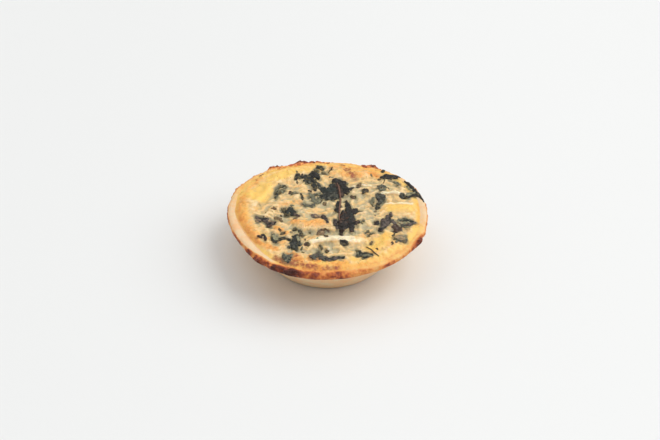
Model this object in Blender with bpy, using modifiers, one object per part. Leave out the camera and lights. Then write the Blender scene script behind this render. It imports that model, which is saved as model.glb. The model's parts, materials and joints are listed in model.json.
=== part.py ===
"""A single-portion quiche: a thin hand-pressed pastry case, the baked egg and cheese filling
that fills it and laps over its lip, and the wilted spinach leaves that lie on top.

Metres, +Z up. The origin is the centre of the flat base, and the front of the quiche faces -Y.
"""

import math

import bmesh
import bpy
from mathutils import Vector, noise
from mathutils.bvhtree import BVHTree

MM = 0.001

# Driving sizes
RIM_RADIUS = 55.0 * MM
RIM_HEIGHT = 26.0 * MM
BASE_RADIUS = 31.5 * MM
PASTRY_THICKNESS = 3.2 * MM
FLOOR_INSET = 0.4 * MM
PIECE_GAP = 0.35 * MM

# The rounded section of the lip, from its inner slope over the crest to its underside, as
# mm in from the rim's radius and mm down from its height
LIP_SECTION = (
    (7.2, 1.5),
    (5.2, 0.35),
    (2.4, 0.0),
    (0.9, 0.5),
    (0.1, 1.6),
    (0.3, 2.9),
    (1.6, 4.0),
    (5.6, 4.8),
)

# The rounded section of the foot, as mm out from the base's radius and mm up
FOOT_SECTION = ((0.6, 1.1), (-0.7, 0.25), (-1.8, 0.0))

# The rim is pressed by hand: no movement below the first share of its height, all of it above
# the second, and the crags only from the first to the second mm in from the rim
PRESS_SHARES = (0.12, 0.92)
CRAG_BAND = (2.6, 0.6)

# How many steps the solids take
CASE_STEPS = 120
FILLING_CELLS = 36

# Waves of the hand-pressed rim: turns per circle, cosine part and sine part in mm
RIM_OUT_WAVES = ((2, -0.3, -0.7), (3, 0.3, 1.8), (4, -0.2, -0.8))
RIM_UP_WAVES = ((1, 0.7, 0.0), (2, -0.2, 0.6), (3, 1.0, 0.2))

# Broad dents of the rim: bearing in degrees, half-width in degrees, how far out and how far up
# in mm
RIM_DENTS = ((285, 42.0, -3.6, 0.4),)

# Crags of baked cheese and pastry on the rim: bearing in degrees, half-width in degrees,
# how far out and how far up in mm
RIM_CRAGS = (
    (226, 5.0, 1.1, 0.3),
    (238, 4.0, 1.1, 0.55),
    (249, 3.5, 0.6, 0.25),
    (263, 6.0, 0.8, 0.4),
    (281, 5.0, 0.6, 0.2),
    (301, 6.0, 0.4, 0.25),
    (334, 4.5, 0.9, 0.4),
    (344, 3.5, 0.7, 0.1),
    (62, 4.0, 0.6, 0.5),
    (98, 4.5, 0.5, 0.65),
    (107, 3.5, 0.9, 0.85),
    (124, 4.0, 1.0, 0.95),
    (150, 6.0, 0.5, 0.35),
)

# How much of the lip the filling leaves bare, in mm: the least and the most, and what is added
# round some bearings, as bearing in degrees, half-width in degrees and amount
BARE_LIP_LEAST = 0.9
BARE_LIP_MOST = 5.1
BARE_LIP_MORE = ((207, 30.0, 3.9), (165, 22.0, 1.3), (2, 26.0, 1.9), (120, 14.0, 0.8))

# The filling's top: how far its middle and its edge stand above the rim, how thick the edge
# laps on the lip and from which share of the radius it rounds down
FILLING_CROWN = 0.2 * MM
FILLING_EDGE = 0.7 * MM
LAP_THICKNESS = 0.4 * MM
LAP_SHARE = 0.9

# The filling's underside keeps clear of the sloping wall by this much inwards and upwards
WALL_CLEAR = (0.45 * MM, 0.32 * MM)

# Swells and curds of the top, which grow calmer between two shares of the radius
SWELL_SIZE = 9.0 * MM
SWELL_HEIGHT = 0.75 * MM
CURD_SIZE = 3.6 * MM
CURD_HEIGHT = 0.55 * MM
CALM_SHARES = (0.72, 0.95)
CALM_LOSS = 0.6
BUMP_FLATNESS = 1.4

# Lumps of set egg and melted cheese, in mm: x, y, half-length, half-width, heading in degrees, height
LUMPS = {
    "gold_lump": (-5.0, -10.5, 9.0, 4.6, -4, 1.9),
    "cream_ridge": (3.0, -24.5, 15.0, 3.4, 4, 2.1),
    "cream_ridge_end": (-10.0, -29.5, 5.0, 3.3, 30, 1.1),
    "yellow_slab": (40.0, 3.0, 8.0, 6.0, -6, 1.4),
    "left_pillow": (-42.0, 7.5, 11.0, 6.5, 78, 1.2),
    "left_fold": (-29.0, 5.5, 8.5, 2.6, 62, 1.0),
    "back_left_pillow": (-24.0, 33.5, 10.0, 7.0, 25, 0.9),
    "back_gold": (14.0, 38.0, 12.0, 5.0, -6, 1.3),
    "shred_heap": (24.5, 20.0, 12.0, 6.5, -12, 1.5),
    "shred_ridge": (37.5, 19.0, 8.0, 3.0, -20, 1.1),
    "front_right_pillow": (33.0, -30.0, 9.0, 5.5, 42, 1.4),
    "heart_heap": (8.5, -2.0, 7.5, 13.0, 0, 1.2),
    "right_heap": (31.0, -8.5, 8.0, 5.0, 10, 1.0),
    "front_left_fold": (-27.0, -12.0, 8.0, 3.0, -38, 1.1),
    "left_front_pillow": (-37.0, -15.5, 8.0, 4.0, -50, 0.8),
    "front_lap": (-3.0, -45.0, 12.0, 3.0, -2, 0.6),
    "mid_left_lump": (-15.0, -8.5, 5.0, 3.4, -20, 1.2),
    "mid_curd": (17.0, -12.0, 7.0, 4.0, 15, 0.9),
}

# Hollows between them, in the same terms
HOLLOWS = {
    "left_valley": (-32.5, 17.0, 11.0, 2.4, 62, 1.3),
    "front_valley": (-4.0, -33.5, 15.0, 3.0, 2, 1.1),
    "gold_step": (-3.0, -17.5, 10.0, 2.2, 6, 1.0),
    "front_left_valley": (-31.0, -19.0, 8.0, 2.2, -28, 0.9),
    "slab_step": (33.0, 10.5, 8.0, 1.8, -4, 0.8),
    "teal_pool": (-4.0, 14.0, 9.0, 6.0, -20, 0.8),
}

# A leaf: its thickness, how far round a point it feels for what lies under it, how slim its
# ends are, how ragged its outline is and how many waves it has along its length
LEAF_THICKNESS = 0.7 * MM
LEAF_REACH = 0.6 * MM
LEAF_CELLS = (8, 3)
LEAF_TIP = 0.3
LEAF_RAGGED = 0.7
LEAF_WAVES = 3.1
FOLD_TURNS = 5.5
SEED_STEP = 7.3

# The leaves that are pieces of their own: the middle line from end to end in mm, width and
# crumple height in mm, and the seed of its outline
LEAVES = {
    "leaf_back_long": (((-15.5, 34.5), (-10.5, 31.5), (-5.5, 24.0)), 4.2, 1.2, 1),
    "leaf_back_fork": (((-10.5, 37.0), (-7.0, 37.5), (-3.0, 34.5)), 4.8, 1.3, 2),
    "leaf_centre_back": (((3.0, 28.5), (7.5, 23.5), (13.5, 20.0)), 8.0, 1.6, 3),
    "leaf_centre_teal": (((-6.5, 20.0), (-0.5, 16.5), (5.5, 14.5)), 6.4, 1.1, 4),
    "leaf_centre_sunk": (((-11.5, 14.0), (-8.0, 10.0), (-3.0, 7.5)), 5.6, 0.7, 5),
    "leaf_heart": (((8.5, 9.0), (10.8, -2.5), (9.0, -16.0)), 12.5, 2.0, 6),
    "leaf_grey": (((29.5, 16.0), (29.0, 12.0), (28.0, 7.5)), 5.2, 0.8, 7),
    "leaf_back_right": (((30.0, 32.5), (34.5, 33.8), (39.0, 33.0)), 4.2, 0.8, 8),
    "leaf_rim_right": (((42.5, 28.0), (46.3, 20.5), (49.3, 13.0)), 4.4, 1.0, 9),
    "leaf_right_purple": (((25.0, -10.5), (30.5, -9.0), (35.0, -4.5)), 6.4, 1.3, 10),
    "leaf_right_small": (((34.8, -12.0), (37.0, -14.5), (39.5, -16.5)), 4.4, 0.9, 11),
    "leaf_right_long": (((39.0, -8.0), (43.0, -9.0), (48.0, -10.5)), 4.2, 0.9, 12),
    "leaf_right_front": (((35.0, -24.5), (38.5, -25.2), (42.0, -24.0)), 4.2, 0.8, 13),
    "leaf_front_right": (((14.8, -33.5), (19.0, -37.0), (24.0, -38.5)), 4.8, 0.8, 14),
    "leaf_front": (((-8.0, -38.5), (-2.5, -40.2), (7.0, -41.8)), 4.6, 1.0, 15),
    "leaf_front_left": (((-23.0, -37.0), (-21.3, -40.0), (-19.0, -42.5)), 6.2, 0.8, 16),
    "leaf_roll": (((-14.5, -17.0), (-15.8, -24.5), (-19.0, -31.5)), 6.4, 1.9, 17),
    "leaf_fold_left": (((-30.0, -21.5), (-26.0, -25.2), (-20.8, -25.5)), 4.4, 1.2, 18),
    "leaf_left_strand": (((-39.5, -2.0), (-34.5, -6.8), (-29.0, -12.0)), 4.0, 1.0, 19),
    "leaf_left_mid": (((-24.0, 4.8), (-20.5, 1.0), (-16.0, -2.0)), 5.8, 1.2, 20),
    "leaf_left_back": (((-29.0, 14.5), (-27.8, 21.5), (-22.5, 24.0)), 4.8, 0.8, 21),
}

# Scraps of leaf fused to the filling, in mm: the ends of the middle line, and the width
SCRAPS = (
    ((-18.5, 35.0), (-16.0, 37.5), 2.8),
    ((-5.5, 43.5), (-2.5, 43.5), 1.6),
    ((2.0, 42.0), (0.5, 38.5), 1.2),
    ((18.5, 17.5), (22.0, 18.8), 2.2),
    ((17.0, 25.5), (18.8, 22.5), 2.0),
    ((40.0, 14.5), (42.5, 13.8), 1.8),
    ((-3.5, -5.5), (0.3, -8.5), 3.4),
    ((-5.0, -19.5), (0.3, -21.0), 3.2),
    ((5.5, -27.5), (10.0, -28.2), 3.0),
    ((-12.0, -29.8), (-9.5, -29.0), 1.8),
    ((-37.5, -20.5), (-33.0, -23.5), 2.0),
    ((33.0, 24.5), (30.5, 20.0), 1.5),
    ((19.0, -27.5), (22.8, -33.0), 1.2),
    ((26.5, -16.0), (29.5, -15.5), 1.8),
    ((-20.5, 18.0), (-16.5, 19.0), 2.2),
    ((36.0, 27.5), (38.5, 22.5), 1.2),
    ((-31.0, 3.8), (-28.5, 3.2), 1.8),
    ((-28.5, -4.0), (-24.5, -7.0), 1.1),
)
SCRAP_PROUD = 0.75 * MM
SCRAP_SUNK = 1.2 * MM
SCRAP_CRUMPLE = 0.25 * MM
SCRAP_BEND = 0.4
SCRAP_TIP = 0.6


def clear_scene():
    for old in list(bpy.data.objects):
        bpy.data.objects.remove(old, do_unlink=True)


def smooth_step(low, high, value):
    """0 below low, 1 above high, and a smooth rise between them."""
    share = min(1.0, max(0.0, (value - low) / (high - low)))
    return share * share * (3.0 - 2.0 * share)


def waves(angle, terms):
    """The sum of the waves round the rim at this bearing, in metres."""
    total = 0.0
    for turns, cosine, sine in terms:
        total += cosine * math.cos(turns * angle) + sine * math.sin(turns * angle)
    return total * MM


def near_bearings(angle, rows, column):
    """The sum over the rows of the column's amount, which fades away from each row's bearing."""
    total = 0.0
    for row in rows:
        turn = (math.degrees(angle) - row[0] + 180.0) % 360.0 - 180.0
        total += row[column] * math.exp(-((turn / row[1]) ** 2))
    return total * MM


def crag(angle, column):
    """How far the rim's crags stand out (column 2) or up (column 3) at this bearing."""
    return near_bearings(angle, RIM_CRAGS, column)


def rim_out(angle):
    """How far the rim lies outside its mean radius at this bearing."""
    return waves(angle, RIM_OUT_WAVES) + near_bearings(angle, RIM_DENTS, 2)


def rim_up(angle):
    """How far the rim stands above its mean height at this bearing."""
    return waves(angle, RIM_UP_WAVES) + near_bearings(angle, RIM_DENTS, 3)


def bare_lip(angle):
    """The width of lip that the filling leaves bare at this bearing."""
    width = BARE_LIP_LEAST * MM + near_bearings(angle, BARE_LIP_MORE, 2)
    return min(width, BARE_LIP_MOST * MM)


def bump(x, y, row):
    """An oval rise of height 1 with a flattish top, at the place, size and heading of the row."""
    centre_x, centre_y, half_length, half_width, heading, _ = row
    turn = math.radians(heading)
    across_x = x / MM - centre_x
    across_y = y / MM - centre_y
    along = (across_x * math.cos(turn) + across_y * math.sin(turn)) / half_length
    beside = (across_y * math.cos(turn) - across_x * math.sin(turn)) / half_width
    return math.exp(-((along * along + beside * beside) ** BUMP_FLATNESS))


def filling_top(x, y):
    """The height of the filling's top, before its edge rounds down on to the lip."""
    angle = math.atan2(y, x)
    share = min(1.0, math.hypot(x, y) / (RIM_RADIUS + rim_out(angle)))
    height = RIM_HEIGHT + rim_up(angle) * share * share
    height += FILLING_CROWN * (1.0 - share * share)
    for row in LUMPS.values():
        height += row[5] * MM * bump(x, y, row)
    for row in HOLLOWS.values():
        height -= row[5] * MM * bump(x, y, row)
    calm = 1.0 - CALM_LOSS * smooth_step(*CALM_SHARES, share)
    height += SWELL_HEIGHT * calm * noise.noise(Vector((x, y, 0.0)) / SWELL_SIZE)
    height += CURD_HEIGHT * calm * noise.noise(Vector((x, y, SWELL_SIZE)) / CURD_SIZE)
    return height


def between(start, end, shares):
    """The points at these shares of the straight line from start to end."""
    run = end[0] - start[0]
    rise = end[1] - start[1]
    return [(start[0] + run * share, start[1] + rise * share) for share in shares]


def lip_points():
    """The lip's section at its mean size, as (radius, height)."""
    return [(RIM_RADIUS - inwards * MM, RIM_HEIGHT - down * MM) for inwards, down in LIP_SECTION]


def inner_wall():
    """The case's sloping inside, from the edge of its floor up to the lip."""
    floor_edge = (BASE_RADIUS - FLOOR_INSET, PASTRY_THICKNESS)
    return between(floor_edge, lip_points()[0], (0.0, 0.3, 0.65, 1.0))


def case_profile():
    """The case's section at its mean size, from the middle of the floor up the inside, over
    the lip and down the outside to the middle of the base, as (radius, height)."""
    foot = [(BASE_RADIUS + out * MM, up * MM) for out, up in FOOT_SECTION]
    lip = lip_points()
    middle = [(0.0, PASTRY_THICKNESS), (BASE_RADIUS * 0.6, PASTRY_THICKNESS)]
    outer_wall = between(lip[-1], foot[0], (0.35, 0.7))
    return middle + inner_wall() + lip[1:] + outer_wall + foot + [(0.0, 0.0)]


def press_rim(radius, height, angle):
    """Where a point of the mean section goes once the rim is pressed into its real form. The
    base keeps its circle, and the movement grows with height."""
    share = smooth_step(*PRESS_SHARES, height / RIM_HEIGHT)
    edge = smooth_step(RIM_RADIUS - CRAG_BAND[0] * MM, RIM_RADIUS - CRAG_BAND[1] * MM, radius)
    out = radius + rim_out(angle) * share * radius / RIM_RADIUS
    up = height + rim_up(angle) * share * min(1.0, radius / RIM_RADIUS)
    return out + crag(angle, 2) * edge, up + crag(angle, 3) * edge


def new_object(name, mesh, collection):
    obj = bpy.data.objects.new(name, mesh)
    collection.objects.link(obj)
    return obj


def material(name, colour, roughness, metallic=0.0):
    made = bpy.data.materials.new(name)
    made.use_nodes = True
    shader = made.node_tree.nodes["Principled BSDF"]
    shader.inputs["Base Color"].default_value = (*colour, 1.0)
    shader.inputs["Roughness"].default_value = roughness
    shader.inputs["Metallic"].default_value = metallic
    made.diffuse_color = (*colour, 1.0)
    return made


def finish_mesh(obj, finish):
    obj.data.materials.clear()
    obj.data.materials.append(finish)
    obj.data.shade_smooth()
    obj.data.set_sharp_from_angle(angle=math.radians(50))


def evaluated_mesh(obj):
    """A new mesh with the object's modifiers applied."""
    graph = bpy.context.evaluated_depsgraph_get()
    graph.update()
    return bpy.data.meshes.new_from_object(obj.evaluated_get(graph))


def turned(name, profile, steps, collection):
    """A turned shape: the profile goes round the Z axis with a Screw modifier, then is welded."""
    mesh = bpy.data.meshes.new(name)
    points = [(radius, 0.0, height) for radius, height in profile]
    mesh.from_pydata(points, [(i, i + 1) for i in range(len(points) - 1)], [])
    obj = new_object(name, mesh, collection)
    screw = obj.modifiers.new("turn", "SCREW")
    screw.axis = "Z"
    screw.angle = math.tau
    screw.steps = steps
    screw.render_steps = steps
    screw.use_merge_vertices = True
    screw.merge_threshold = 0.00001
    baked = evaluated_mesh(obj)
    obj.modifiers.clear()
    obj.data = baked
    shape = bmesh.new()
    shape.from_mesh(obj.data)
    bmesh.ops.remove_doubles(shape, verts=shape.verts, dist=0.00001)
    bmesh.ops.recalc_face_normals(shape, faces=shape.faces)
    shape.to_mesh(obj.data)
    shape.free()
    return obj


def make_case(collection, finish):
    """The pastry case: flat round base, sloping wall and a pressed lip with baked crags."""
    obj = turned("pastry_case", case_profile(), CASE_STEPS, collection)
    for vertex in obj.data.vertices:
        radius = math.hypot(vertex.co.x, vertex.co.y)
        angle = math.atan2(vertex.co.y, vertex.co.x)
        out, up = press_rim(radius, vertex.co.z, angle)
        vertex.co = (out * math.cos(angle), out * math.sin(angle), up)
    finish_mesh(obj, finish)
    return obj


def square_to_disc(u, v):
    """Maps a point of the square from -1 to 1 to the unit disc, with even spacing."""
    if u == 0.0 and v == 0.0:
        return 0.0, 0.0
    if abs(u) >= abs(v):
        return abs(u), math.atan2(u * math.sin(math.pi / 4 * v / u), u * math.cos(math.pi / 4 * v / u))
    bearing = math.pi / 2 - math.pi / 4 * u / v
    return abs(v), math.atan2(v * math.sin(bearing), v * math.cos(bearing))


def filling_edge_radius(angle):
    """Where the filling's edge ends on the lip."""
    return RIM_RADIUS - bare_lip(angle)


def lip_height(radius):
    """The height of the lip's top at this mean radius."""
    outline = lip_points()[:4]
    for (near, near_height), (far, far_height) in zip(outline, outline[1:]):
        if radius <= far:
            share = (radius - near) / (far - near)
            return near_height + (far_height - near_height) * share
    return outline[-1][1]


def under_filling(angle):
    """The filling's underside at this bearing, from its edge on the lip down into the case:
    points that keep clear of the pastry, as (radius, height) before the pressing."""
    edge = filling_edge_radius(angle) - PIECE_GAP
    lip_start = lip_points()[1]
    points = [(edge, lip_height(edge) + PIECE_GAP * 1.2)]
    points.append((lip_start[0] - WALL_CLEAR[0], lip_start[1] + WALL_CLEAR[1]))
    for radius, height in reversed(inner_wall()):
        points.append((radius - WALL_CLEAR[0], height + WALL_CLEAR[1]))
    return points


def make_filling(collection, finish):
    """The egg and cheese filling: a bumpy top whose edge laps on to the lip, over a plain body
    that fills the case."""
    shape = bmesh.new()
    bmesh.ops.create_grid(shape, x_segments=FILLING_CELLS, y_segments=FILLING_CELLS, size=1.0)
    for vertex in shape.verts:
        share, angle = square_to_disc(vertex.co.x, vertex.co.y)
        radius = share * filling_edge_radius(angle)
        lap = lip_height(filling_edge_radius(angle)) + PIECE_GAP + LAP_THICKNESS
        out, edge_height = press_rim(radius, lap, angle)
        place = Vector((out * math.cos(angle), out * math.sin(angle), 0.0))
        top = filling_top(place.x, place.y) + FILLING_EDGE
        place.z = top + (edge_height - top) * smooth_step(LAP_SHARE, 1.0, share) ** 1.4
        vertex.co = place
    rim = [edge for edge in shape.edges if edge.is_boundary]
    for ring in range(len(under_filling(0.0))):
        made = bmesh.ops.extrude_edge_only(shape, edges=rim)["geom"]
        rim = [item for item in made if isinstance(item, bmesh.types.BMEdge) and item.is_boundary]
        for vertex in {corner for edge in rim for corner in edge.verts}:
            angle = math.atan2(vertex.co.y, vertex.co.x)
            radius, height = under_filling(angle)[ring]
            out, up = press_rim(radius, height, angle)
            vertex.co = (out * math.cos(angle), out * math.sin(angle), up)
    bmesh.ops.edgeloop_fill(shape, edges=rim)
    bmesh.ops.recalc_face_normals(shape, faces=shape.faces)
    mesh = bpy.data.meshes.new("egg_filling")
    shape.to_mesh(mesh)
    shape.free()
    obj = new_object("egg_filling", mesh, collection)
    finish_mesh(obj, finish)
    return obj


def line_point(points, share):
    """A point of the smooth curve through three points, and its direction."""
    first, middle, last = (Vector((x * MM, y * MM)) for x, y in points)
    pull = middle * 2.0 - (first + last) * 0.5
    place = first * (1 - share) ** 2 + pull * 2 * share * (1 - share) + last * share**2
    heading = (pull - first) * 2 * (1 - share) + (last - pull) * 2 * share
    return place, heading.normalized()


def ground_height(trees, x, y):
    """The height of the highest solid under this place."""
    best = 0.0
    for tree in trees:
        hit = tree.ray_cast(Vector((x, y, 0.1)), Vector((0.0, 0.0, -1.0)))[0]
        if hit is not None:
            best = max(best, hit.z)
    return best


def leaf_noise(share, side, seed):
    """Smooth noise over the leaf, from its share along and its side from -1 to 1."""
    return noise.noise(Vector((share * LEAF_WAVES, side, seed * SEED_STEP)))


def leaf_sheet(row, trees):
    """An open wavy sheet along the middle line, with a ragged outline, that keeps PIECE_GAP
    from the highest solid within reach. Its faces are triangles before it gets its thickness."""
    points, width, crumple, seed = row
    shape = bmesh.new()
    bmesh.ops.create_grid(shape, x_segments=LEAF_CELLS[0], y_segments=LEAF_CELLS[1], size=0.5)
    for vertex in shape.verts:
        share = vertex.co.x + 0.5
        side = vertex.co.y * 2.0
        place, heading = line_point(points, share)
        beside = Vector((-heading.y, heading.x))
        ends = LEAF_TIP + (1.0 - LEAF_TIP) * math.sin(math.pi * (0.05 + 0.9 * share)) ** 0.7
        ragged = 1.0 + LEAF_RAGGED * leaf_noise(share, side, seed)
        place = place + beside * side * width * MM / 2 * ends * ragged
        fold = abs(math.sin(share * FOLD_TURNS + seed + side))
        wave = max(0.0, 0.3 + leaf_noise(share, side, seed + 0.5))
        ground = 0.0
        for step_x in (-LEAF_REACH, 0.0, LEAF_REACH):
            for step_y in (-LEAF_REACH, 0.0, LEAF_REACH):
                ground = max(ground, ground_height(trees, place.x + step_x, place.y + step_y))
        vertex.co = (place.x, place.y, ground + PIECE_GAP + crumple * MM * (fold + wave) / 2)
    bmesh.ops.triangulate(shape, faces=shape.faces)
    bmesh.ops.recalc_face_normals(shape, faces=shape.faces)
    if sum(face.normal.z for face in shape.faces) < 0:
        bmesh.ops.reverse_faces(shape, faces=shape.faces)
    return shape


def make_leaf(name, row, trees, collection, finish):
    """One wilted leaf as a thin wavy solid on top of what lies under it."""
    shape = leaf_sheet(row, trees)
    mesh = bpy.data.meshes.new(name)
    shape.to_mesh(mesh)
    shape.free()
    obj = new_object(name, mesh, collection)
    solidify = obj.modifiers.new("thickness", "SOLIDIFY")
    solidify.thickness = LEAF_THICKNESS
    solidify.offset = 1.0
    finish_mesh(obj, finish)
    return obj


def scrap_mesh(row, index, trees):
    """A small bent block of leaf, sunk in the filling so far that its joint has no gap."""
    start, end, width = row
    middle = ((start[0] + end[0]) / 2 + SCRAP_BEND, (start[1] + end[1]) / 2 + SCRAP_BEND)
    shape = bmesh.new()
    bmesh.ops.create_cube(shape, size=1.0)
    lengthwise = [edge for edge in shape.edges if abs(edge.verts[0].co.x - edge.verts[1].co.x) > 0.5]
    bmesh.ops.subdivide_edges(shape, edges=lengthwise, cuts=2, use_grid_fill=True)
    for vertex in shape.verts:
        share = vertex.co.x + 0.5
        place, heading = line_point((start, middle, end), share)
        beside = Vector((-heading.y, heading.x))
        slim = SCRAP_TIP + (1.0 - SCRAP_TIP) * math.sin(math.pi * share)
        place = place + beside * vertex.co.y * width * MM * slim
        ground = ground_height(trees, place.x, place.y)
        proud = SCRAP_PROUD + SCRAP_CRUMPLE * math.sin(5.0 * share + 2.0 * index)
        vertex.co = (place.x, place.y, ground + (proud if vertex.co.z > 0 else -SCRAP_SUNK))
    bmesh.ops.recalc_face_normals(shape, faces=shape.faces)
    mesh = bpy.data.meshes.new(f"scrap_{index}")
    shape.to_mesh(mesh)
    shape.free()
    return mesh


def keep_largest_body(mesh):
    """Drops loose crumbs and sealed hollows that fusing leaves, which are separate shells."""
    shape = bmesh.new()
    shape.from_mesh(mesh)
    shells = []
    left = set(shape.faces)
    while left:
        shell = [left.pop()]
        for face in shell:
            for edge in face.edges:
                for beside in edge.link_faces:
                    if beside in left:
                        left.discard(beside)
                        shell.append(beside)
        shells.append(shell)
    largest = max(shells, key=len)
    loose = [face for shell in shells if shell is not largest for face in shell]
    bmesh.ops.delete(shape, geom=loose, context="FACES")
    shape.to_mesh(mesh)
    shape.free()


def fuse_scraps(filling, trees):
    """Joins the small scraps of leaf to the filling with one Boolean union."""
    helpers = bpy.data.collections.new("fused scraps")
    bpy.context.scene.collection.children.link(helpers)
    for index, row in enumerate(SCRAPS):
        new_object(f"scrap_{index}", scrap_mesh(row, index, trees), helpers)
    union = filling.modifiers.new("fuse", "BOOLEAN")
    union.operation = "UNION"
    union.operand_type = "COLLECTION"
    union.collection = helpers
    union.solver = "MANIFOLD"
    baked = evaluated_mesh(filling)
    keep_largest_body(baked)
    filling.modifiers.clear()
    filling.data = baked
    for scrap in list(helpers.objects):
        bpy.data.objects.remove(scrap, do_unlink=True)
    bpy.data.collections.remove(helpers)


def tree_of(obj):
    graph = bpy.context.evaluated_depsgraph_get()
    graph.update()
    return BVHTree.FromObject(obj, graph)


def main():
    clear_scene()
    collection = bpy.data.collections.new("quiche")
    bpy.context.scene.collection.children.link(collection)
    pastry = material("baked pastry", (0.84, 0.56, 0.29), 0.6)
    egg = material("egg filling", (0.91, 0.68, 0.28), 0.42)
    leaf_dark = material("dark leaf", (0.035, 0.038, 0.028), 0.4)
    case = make_case(collection, pastry)
    filling = make_filling(collection, egg)
    trees = [tree_of(case), tree_of(filling)]
    for name, row in LEAVES.items():
        make_leaf(name, row, trees, collection, leaf_dark)
    fuse_scraps(filling, trees)
    finish_mesh(filling, egg)


main()
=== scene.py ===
"""Dresses a single-portion quiche: its pressed pastry case, its browned egg and cheese filling,
the wilted spinach leaves on top, and the small bits of leaf and crust between them.

Metres, +Z up, and the front of the quiche faces -Y. Tables of places are in millimetres.
"""

import json
import math
import random

import bpy
import numpy as np
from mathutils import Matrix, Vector, noise
from mathutils.bvhtree import BVHTree

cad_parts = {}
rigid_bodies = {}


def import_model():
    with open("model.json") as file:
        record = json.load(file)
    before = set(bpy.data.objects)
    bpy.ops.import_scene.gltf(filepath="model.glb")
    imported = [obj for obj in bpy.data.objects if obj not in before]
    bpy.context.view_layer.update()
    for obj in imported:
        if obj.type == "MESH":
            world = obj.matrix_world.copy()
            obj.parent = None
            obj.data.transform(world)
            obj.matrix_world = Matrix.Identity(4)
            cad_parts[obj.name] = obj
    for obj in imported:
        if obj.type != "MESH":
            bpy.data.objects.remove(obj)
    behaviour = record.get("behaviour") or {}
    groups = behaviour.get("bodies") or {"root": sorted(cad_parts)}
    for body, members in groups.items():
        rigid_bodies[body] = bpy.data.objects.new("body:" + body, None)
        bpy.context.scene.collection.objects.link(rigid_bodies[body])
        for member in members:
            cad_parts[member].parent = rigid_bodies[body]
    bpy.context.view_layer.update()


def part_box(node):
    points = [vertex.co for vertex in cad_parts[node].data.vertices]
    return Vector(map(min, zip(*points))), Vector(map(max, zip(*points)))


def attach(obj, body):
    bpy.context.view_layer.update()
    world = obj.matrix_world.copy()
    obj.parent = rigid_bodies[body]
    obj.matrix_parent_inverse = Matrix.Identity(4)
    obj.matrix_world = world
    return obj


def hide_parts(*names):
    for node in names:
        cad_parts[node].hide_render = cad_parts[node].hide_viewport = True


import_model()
CASE_LOW, CASE_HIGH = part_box("pastry_case")
FILLING_LOW, FILLING_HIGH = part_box("egg_filling")

bl_info = {
    "name": "Single-portion quiche",
    "version": (1, 0, 0),
    "blender": (4, 5, 0),
    "location": "View3D > Sidebar > Quiche",
    "description": "Models a small baked quiche with spinach leaves, and the table under it",
    "category": "Add Mesh",
}

MM = 0.001

# The rim, pressed by hand: turns per circle, cosine part and sine part in mm
RIM_OUT_WAVES = ((2, -0.3, -0.7), (3, 0.3, 1.8), (4, -0.2, -0.8))
RIM_UP_WAVES = ((1, 0.7, 0.0), (2, -0.2, 0.6), (3, 1.0, 0.2))

# Broad dents of the rim: bearing and half-width in degrees, how far out and how far up in mm
RIM_DENTS = ((285, 42.0, -3.6, 0.4),)

# Crags on the rim: bearing and half-width in degrees, how far out and how far up in mm
RIM_CRAGS = (
    (226, 5.0, 1.1, 0.3), (238, 4.0, 1.1, 0.55), (249, 3.5, 0.6, 0.25), (263, 6.0, 0.8, 0.4),
    (281, 5.0, 0.6, 0.2), (301, 6.0, 0.4, 0.25), (334, 4.5, 0.9, 0.4), (344, 3.5, 0.7, 0.1),
    (62, 4.0, 0.6, 0.5), (98, 4.5, 0.5, 0.65), (107, 3.5, 0.9, 0.85), (124, 4.0, 1.0, 0.95),
    (150, 6.0, 0.5, 0.35),
)

# Where crags begin and are full, in mm in from the rim's radius, and the shares of the rim's height
# between which its waves set in
CRAG_BAND = (2.6, 0.6)
PRESS_SHARES = (0.12, 0.92)

# How baked the rim's outer edge is: bearing and half-width in degrees, and the amount
RIM_BAKE = (
    (217, 5, 0.62), (227, 6, 0.95), (239, 6, 0.90), (250, 7, 0.88), (265, 7, 0.54), (278, 5, 0.60),
    (290, 6, 0.44), (303, 9, 0.26), (320, 10, 0.14), (335, 6, 0.90), (349, 5, 0.40), (12, 16, 0.14),
    (34, 10, 0.26), (52, 9, 0.45), (63, 6, 0.70), (80, 8, 0.36), (98, 6, 0.85), (107, 5, 0.80),
    (122, 7, 0.92), (140, 8, 0.46), (153, 6, 0.50), (172, 11, 0.16), (192, 11, 0.14), (211, 7, 0.30),
)

# How far in from the edge that baking reaches, in mm: the least, and what is added, as bearing and
# half-width in degrees, and mm
BAKE_SPREAD_LEAST = 1.3
BAKE_SPREAD = (
    (274, 17.0, 3.4), (250, 12.0, 2.6), (228, 10.0, 1.9), (112, 28.0, 2.0), (63, 10.0, 1.6),
    (334, 7.0, 1.4), (153, 8.0, 0.8),
)

# How golden the whole lip is: bearing and half-width in degrees, and the amount
LIP_GOLD = (
    (276, 20, 0.46), (312, 22, 0.30), (340, 13, 0.2), (20, 22, 0.08), (62, 18, 0.3), (108, 24, 0.34),
    (148, 16, 0.2), (252, 14, 0.5),
)

# The width of lip that the filling leaves bare, in mm: the least and the most, and what is added
# round some bearings
BARE_LIP_LEAST = 1.5
BARE_LIP_MOST = 5.1
BARE_LIP_MORE = ((207, 30.0, 3.9), (165, 22.0, 1.3), (2, 26.0, 1.9), (120, 14.0, 0.8))

# Sections, in mm in from the rim's radius and down from its height, and in mm out from the
# base's radius and up
LIP_SECTION = (
    (7.2, 1.5), (5.2, 0.35), (2.4, 0.0), (0.9, 0.5), (0.1, 1.6), (0.3, 2.9), (1.6, 4.0), (5.6, 4.8),
)
FOOT_SECTION = ((0.6, 1.1), (-0.7, 0.25), (-1.8, 0.0))

# How many of the lip's points face up
LIP_TOP = 5

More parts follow.
